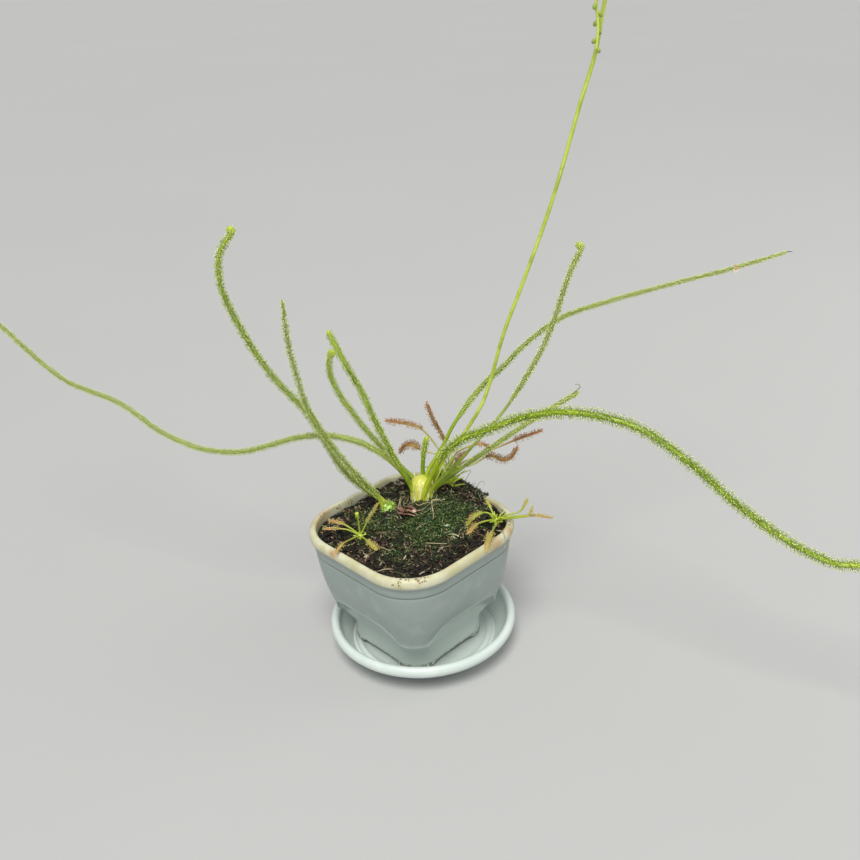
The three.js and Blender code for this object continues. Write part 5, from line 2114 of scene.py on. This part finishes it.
@dataclass
class SpoonPlant:
    """A small sundew: a short stem and leaves of a thin stalk and a spoon blade."""

    name: str
    slot: str
    crown: Point
    leaf_root: float
    crown_radius: float
    stem_foot: float
    leaves: tuple[tuple[tuple[Point, ...], float, float, float], ...]
    young: int = 10
    young_reach: float = 6.5
    young_drop: float = 2.5
    petiole: float = 0.5
    thickness: float = 0.45
    tentacle: float = 1.2
    hairs_each: float = 11.0
    hair_stalk: float = 0.08
    hair_bead: float = 0.19

    def heart(self) -> Shape:
        """Grows the heart.

        Returns:
            Its skin, in millimetres.
        """
        x, y, top = self.crown
        radius = self.crown_radius
        stations = [
            Station(Vector((x, y, z)), (r, r), z - self.stem_foot) for z, r in (
                (self.stem_foot, radius * 0.6), (top - 2 * radius, radius * 0.75), (top - radius, radius * 0.85),
                (top, radius), (top + radius * 0.5, radius * 0.85), (top + radius * 0.85, radius * 0.45))]
        return Stem(stations, 16).skin(Vector((x, y, top + radius)))

    def young_leaves(self, rng: np.random.Generator) -> list[Strand]:
        """Lays out the thin young leaves that crowd round the heart.

        Args:
            rng: For the random draws.

        Returns:
            The young leaves.
        """
        x, y, top = self.crown
        strands = []
        for i in range(self.young):
            angle = GOLDEN * i + rng.uniform(-0.4, 0.4)
            out = Vector((math.cos(angle), math.sin(angle), 0.0))
            lean = rng.uniform(0.25, 0.9)
            reach = self.young_reach * rng.uniform(0.55, 1.1)
            foot = Vector((x, y, top - self.young_drop * (i / self.young) - 0.6)) + out * (self.crown_radius * 0.45)
            points = []
            for share in (0.0, 0.35, 0.7, 1.0):
                rise = reach * share * (1.2 - 0.45 * share) * (1 - 0.4 * lean)
                points.append(tuple(foot + out * (reach * lean * share**1.3) + UP * rise))
            strands.append(Strand(tuple(points), (0.55, 0.26)))
        return strands

    def leaf_stem(self, leaf: SpoonLeaf) -> Stem:
        """Works out a leaf's stem.

        Args:
            leaf: The leaf.

        Returns:
            The stem, which widens into the blade.
        """
        x, y, top = self.crown
        route = Route(((x, y, top + self.leaf_root), *leaf.points))

        def section(share: float) -> Pair:
            """Works out the section's half sizes.

            Args:
                share: How far along the leaf.

            Returns:
                Half its width and half its thickness.
            """
            blade = (share - (1 - leaf.blade)) / leaf.blade
            if blade <= 0:
                return self.petiole, self.thickness
            full = math.sqrt(max(0.0, 1 - (1.9 * blade - 0.95) ** 2))
            wide = lerp(self.petiole, leaf.half, full) if blade < 0.5 else leaf.half * full
            return wide, self.thickness * min(1.0, wide / self.petiole)

        return Stem(route.stations(max(20, round(route.length / 0.55)), section), 12, level=True)

    def tentacles(
        self, stem: Stem, leaf: SpoonLeaf, rng: np.random.Generator,
    ) -> Iterator[tuple[Vector, Vector, float]]:
        """Scatters tentacles over a blade, most of them near its edge.

        Args:
            stem: The leaf's stem.
            leaf: The leaf.
            rng: For the random draws.

        Yields:
            A tentacle's place, direction and reach.
        """
        length = stem.stations[-1].distance
        for _ in range(int(length * leaf.blade * leaf.half * self.hairs_each)):
            angle = rng.uniform(-0.45, math.pi + 0.45)
            distance = rng.uniform(length * (1 - leaf.blade), length)
            point, out, heading = stem.spot(distance, angle)
            tipward = heading * (0.2 + 0.9 * max(0.0, (distance - length + 1.5) / 1.5))
            yield point, out + tipward, self.tentacle * (0.4 + 0.75 * abs(math.cos(angle)) ** 2) * rng.uniform(0.8, 1.2)

    def build(self, seed: int) -> None:
        """Builds heart, leaves and tentacles.

        Args:
            seed: For the random draws.
        """
        rng = np.random.default_rng(seed)
        skin, *hairs = SPOON_FINISHES[self.slot]
        finish_piece(self.heart(), self.name + "_heart", [HEART_SKIN], self.slot, self.name)
        finish_piece(bind_strands(self.young_leaves(rng)), self.name + "_young", [HEART_SKIN], self.slot)
        skins, tones, spots = [], [], []
        for leaf in (SpoonLeaf(*values) for values in self.leaves):
            stem = self.leaf_stem(leaf)
            before, last = (station.point for station in stem.stations[-2:])
            bm = stem.skin(last + (last - before).normalized() * 0.5)
            along = bm.verts.layers.float["along"]
            tones += [leaf.tone * smoothstep(v[along], 0.3, 0.9) for v in bm.verts]
            skins.append(bm)
            spots += self.tentacles(stem, leaf, rng)
        mesh = finish_piece(bind_skins(iter(skins)), self.name + "_leaves", [skin], self.slot, self.name).data
        paint(mesh, "tone", tones)
        places, directions, reaches = (np.array(column) for column in zip(*spots))
        count = len(places)
        turns = axes_from(directions + rng.normal(0, 0.15, (count, 3)), rng)
        sizes = rng.uniform(0.8, 1.2, (count, 1)) * np.ones((1, 3))
        mesh = tentacle_copies(self.hair_stalk, self.hair_bead).mesh(
            self.name + "_tentacles", places, turns, sizes, reaches, shade=rng.uniform(0, 1, count))
        finish_piece(mesh, self.name + "_tentacles", hairs, self.slot)


SPOON_PLANTS = (
    SpoonPlant("back_sundew", "red_leaf_tissue", (-5, 28.6, 83.4), 0.6, 1.9, 70, (
        (((-10, 25, 97), (-16, 20, 107), (-23, 12, 111), (-27, 8, 112)), 0.42, 1.5, 0.6),
        (((-7.0, 29.4, 93.8), (-9.2, 27, 104), (-10.4, 24, 111), (-11.8, 21.4, 121)), 0.58, 1.9, 0.45),
        (((-9, 27, 91), (-17, 22, 93), (-21, 19.6, 96), (-25, 18, 95), (-27, 16, 91)), 0.4, 2.3, 0.35),
        (((2, 36, 89), (12, 47.5, 95), (19, 55, 99), (27, 62, 103)), 0.3, 1.3, 1.0),
        (((3, 36.6, 86), (10, 43, 91), (14, 46, 89), (18, 48.6, 90), (21, 51, 96)), 0.5, 2.0, 0.3),
        (((-3, 31, 92), (3, 35, 97), (9, 38.4, 99), (12, 40, 97)), 0.3, 1.1, 0.4),
        (((-1.4, 31.6, 90), (2.4, 33.4, 93.6)), 0.55, 2, 0.8)), 24, 14.0, 12.0),
    SpoonPlant("left_sundew", "pale_leaf_tissue", (-13.6, -25.2, 67), 0.4, 1.4, 62, (
        (((-13.4, -25.6, 74), (-13.6, -26, 79.4)), 0.2, 0.45, 0.0),
        (((-11.4, -22.4, 74), (-7, -18, 84.6)), 0.6, 1.15, 0.45),
        (((-18, -28, 71.6), (-22, -30, 73.4), (-27, -33, 74)), 0.45, 1.25, 1.0),
        (((-18, -29, 70.6), (-22, -32.6, 71.4), (-26, -37, 71.6)), 0.4, 1.1, 1.0),
        (((-10.6, -33, 70.6), (-8, -41, 72.6), (-6.6, -46.4, 71)), 0.3, 0.85, 0.7),
        (((-8, -27, 68.6), (-4, -27.6, 68.6), (2, -28.4, 67.6)), 0.5, 1.5, 0.3)),
        6, 5.0, 2.0, 0.42, 0.4, 0.8, 9.0),
    SpoonPlant("right_sundew", "pale_leaf_tissue", (27.9, 26.2, 68.2), 0.4, 1.7, 62, (
        (((28, 24, 72.4), (25.6, 20, 75), (23, 15.6, 73.6), (21.4, 12.4, 69.4)), 0.5, 1.6, 0.0),
        (((26.6, 22, 69.8), (24.6, 16, 69.8), (25, 9, 67.8)), 0.45, 1.3, 0.7),
        (((34, 19, 71.8), (38, 12, 73), (42, 5, 73.4), (44.6, 0.6, 70.6)), 0.45, 1.2, 0.45),
        (((33, 27.6, 71.6), (39, 32, 73), (44, 36.4, 73), (50, 42, 71.6)), 0.4, 0.9, 0.7),
        (((32, 29, 71.8), (37, 34, 74), (38, 38, 79.4)), 0.3, 0.7, 0.1),
        (((34, 26.6, 71.8), (40, 29.6, 73.6), (44, 32, 75.4), (44.6, 34, 79.6)), 0.25, 0.7, 0.2),
        (((25, 27, 71.4), (19, 29.4, 75.4)), 0.4, 0.8, 0.1)),
        16, 8.0, 2.5, 0.45, 0.42, 0.8, 8.0),
)


# ---- studio


@dataclass(frozen=True)
class Paper(Finish):
    """The pale paper of the studio's floor."""

    SETTINGS: ClassVar = {"Roughness": 0.7}
    name: str = "floor_paper"
    dark: Colour = (0.43, 0.43, 0.425)
    light: Colour = (0.455, 0.455, 0.45)

    def lay(self, board: Board) -> Iterator[Socket]:
        """Yields the socket for colour."""
        yield board.mix(board.noise(board.place(), 3.0, 3.0), self.dark, self.light)


@dataclass
class Studio:
    """Floor, lights and camera. Its lengths are in metres."""

    azimuth: float = 46.5
    elevation: float = 27.28
    roll: float = -3.06
    position: Point = (0.3054, -0.2780, 0.3315)
    sensor: float = 36.0
    focal_pixels: float = 1000.0
    frame_pixels: int = 860
    key_from: Point = (0.3, -0.42, 1.0)
    key_strength: float = 2.85
    key_spread: float = 28.0
    sky_strength: float = 0.5
    sky: Colour = (0.86, 0.88, 0.9)
    floor_half: float = 20.0
    floor_level: float = -0.0002
    aim: Point = (0.0, 0.0, 0.1)
    area_size: float = 0.6

    def camera(self) -> None:
        """Sets the camera up."""
        a, e, r = (math.radians(v) for v in (self.azimuth, self.elevation, self.roll))
        back = Vector((math.sin(a) * math.cos(e), -math.cos(a) * math.cos(e), math.sin(e)))
        right = Vector((math.cos(a), math.sin(a), 0.0))
        up = back.cross(right)
        axes = (right * math.cos(r) + up * math.sin(r), up * math.cos(r) - right * math.sin(r), back)
        data = bpy.data.cameras.new("camera")
        data.sensor_width = self.sensor
        data.lens = self.sensor * self.focal_pixels / self.frame_pixels
        camera = put_in_scene("camera", data)
        camera.matrix_world = Matrix.Translation(self.position) @ Matrix(axes).transposed().to_4x4()
        bpy.context.scene.camera = camera

    def lamp(self, name: str, kind: str, towards: Vector, **settings: object) -> Piece:
        """Adds a light.

        Args:
            name: The light's name.
            kind: Its type.
            towards: The direction it shines in.
            **settings: Its other properties.

        Returns:
            The light's object.
        """
        data = bpy.data.lights.new(name, kind)
        for key, value in settings.items():
            setattr(data, key, value)
        lamp = put_in_scene(name, data)
        lamp.rotation_euler = towards.to_track_quat("-Z", "Y").to_euler()
        return lamp

    def floor(self) -> None:
        """Lays the pale floor."""
        bm = bmesh.new()
        bmesh.ops.create_grid(bm, x_segments=8, y_segments=8, size=self.floor_half)
        bmesh.ops.translate(bm, vec=(0, 0, self.floor_level), verts=bm.verts)
        floor = put_in_scene("floor", to_mesh(bm, "floor", 1.0))
        floor.data.materials.append(Paper().material())

    def build(self) -> None:
        """Sets the whole studio up: a broad key light from above, and two softer ones nearer by."""
        self.camera()
        self.floor()
        self.lamp("key", "SUN", -Vector(self.key_from), energy=self.key_strength, angle=math.radians(self.key_spread),
                  color=(1.0, 0.99, 0.95))
        for name, place, power, colour in (
                ("front", (0.7, -0.8, 0.5), 2.2, (0.96, 0.98, 1.0)), ("side", (0.6, 0.8, 0.6), 2.0, (1.0, 1.0, 0.96))):
            towards = Vector(self.aim) - Vector(place)
            self.lamp(name, "AREA", towards, energy=power, size=self.area_size, color=colour).location = place
        world = bpy.data.worlds.new("studio")
        world.use_nodes = True
        background = world.node_tree.nodes["Background"].inputs
        background["Color"].default_value, background["Strength"].default_value = (*self.sky, 1.0), self.sky_strength
        bpy.context.scene.world = world
        bpy.context.scene.view_settings.view_transform = "Standard"


# ---- main


def main() -> None:
    """Builds every sub-assembly in order."""
    logging.basicConfig(level=logging.INFO, format="%(name)s %(message)s")
    noise.seed_set(NOISE_SEED)
    Studio().build()
    Saucer().build()
    pot = Pot()
    pot.build()
    soil = Soil(pot)
    soil.build()
    Bulb("main_crown", "crown", CROWN_SKIN, (-8.5, 12.5),
         ((4.4, 63.5), (5.7, 68), (6.0, 76), (5.9, 80.5), (4.9, 83.4), (3.0, 85.4), (0, 86.3)), 9, 0.05).build()
    finish_piece(bind_strands(crown_sheaths(), 12), "crown_sheaths", [Plain("crown_tissue")], "crown_tissue")
    Bulb("young_crown", "side_crown", YOUNG_SKIN, (-20, -0.6),
         ((2.6, 60.5), (3.5, 64), (3.7, 68), (3.1, 70.4), (1.6, 72), (0, 72.5)), 3, 0.02).build()
    for seed, leaf in enumerate(THREAD_LEAVES):
        leaf.blade()
        leaf.tentacles(LEAF_SEED + seed)
    Scales().build()
    Fly().build()
    FlowerStalk().build()
    for seed, plant in enumerate(SPOON_PLANTS):
        plant.build(PLANT_SEED + seed)
    finish_piece(bind_strands(FAN, 8), "crown_fan", [HEART_SKIN], "young_tissue")
    Litter(soil).build()


if __name__ == "__main__":
    main()
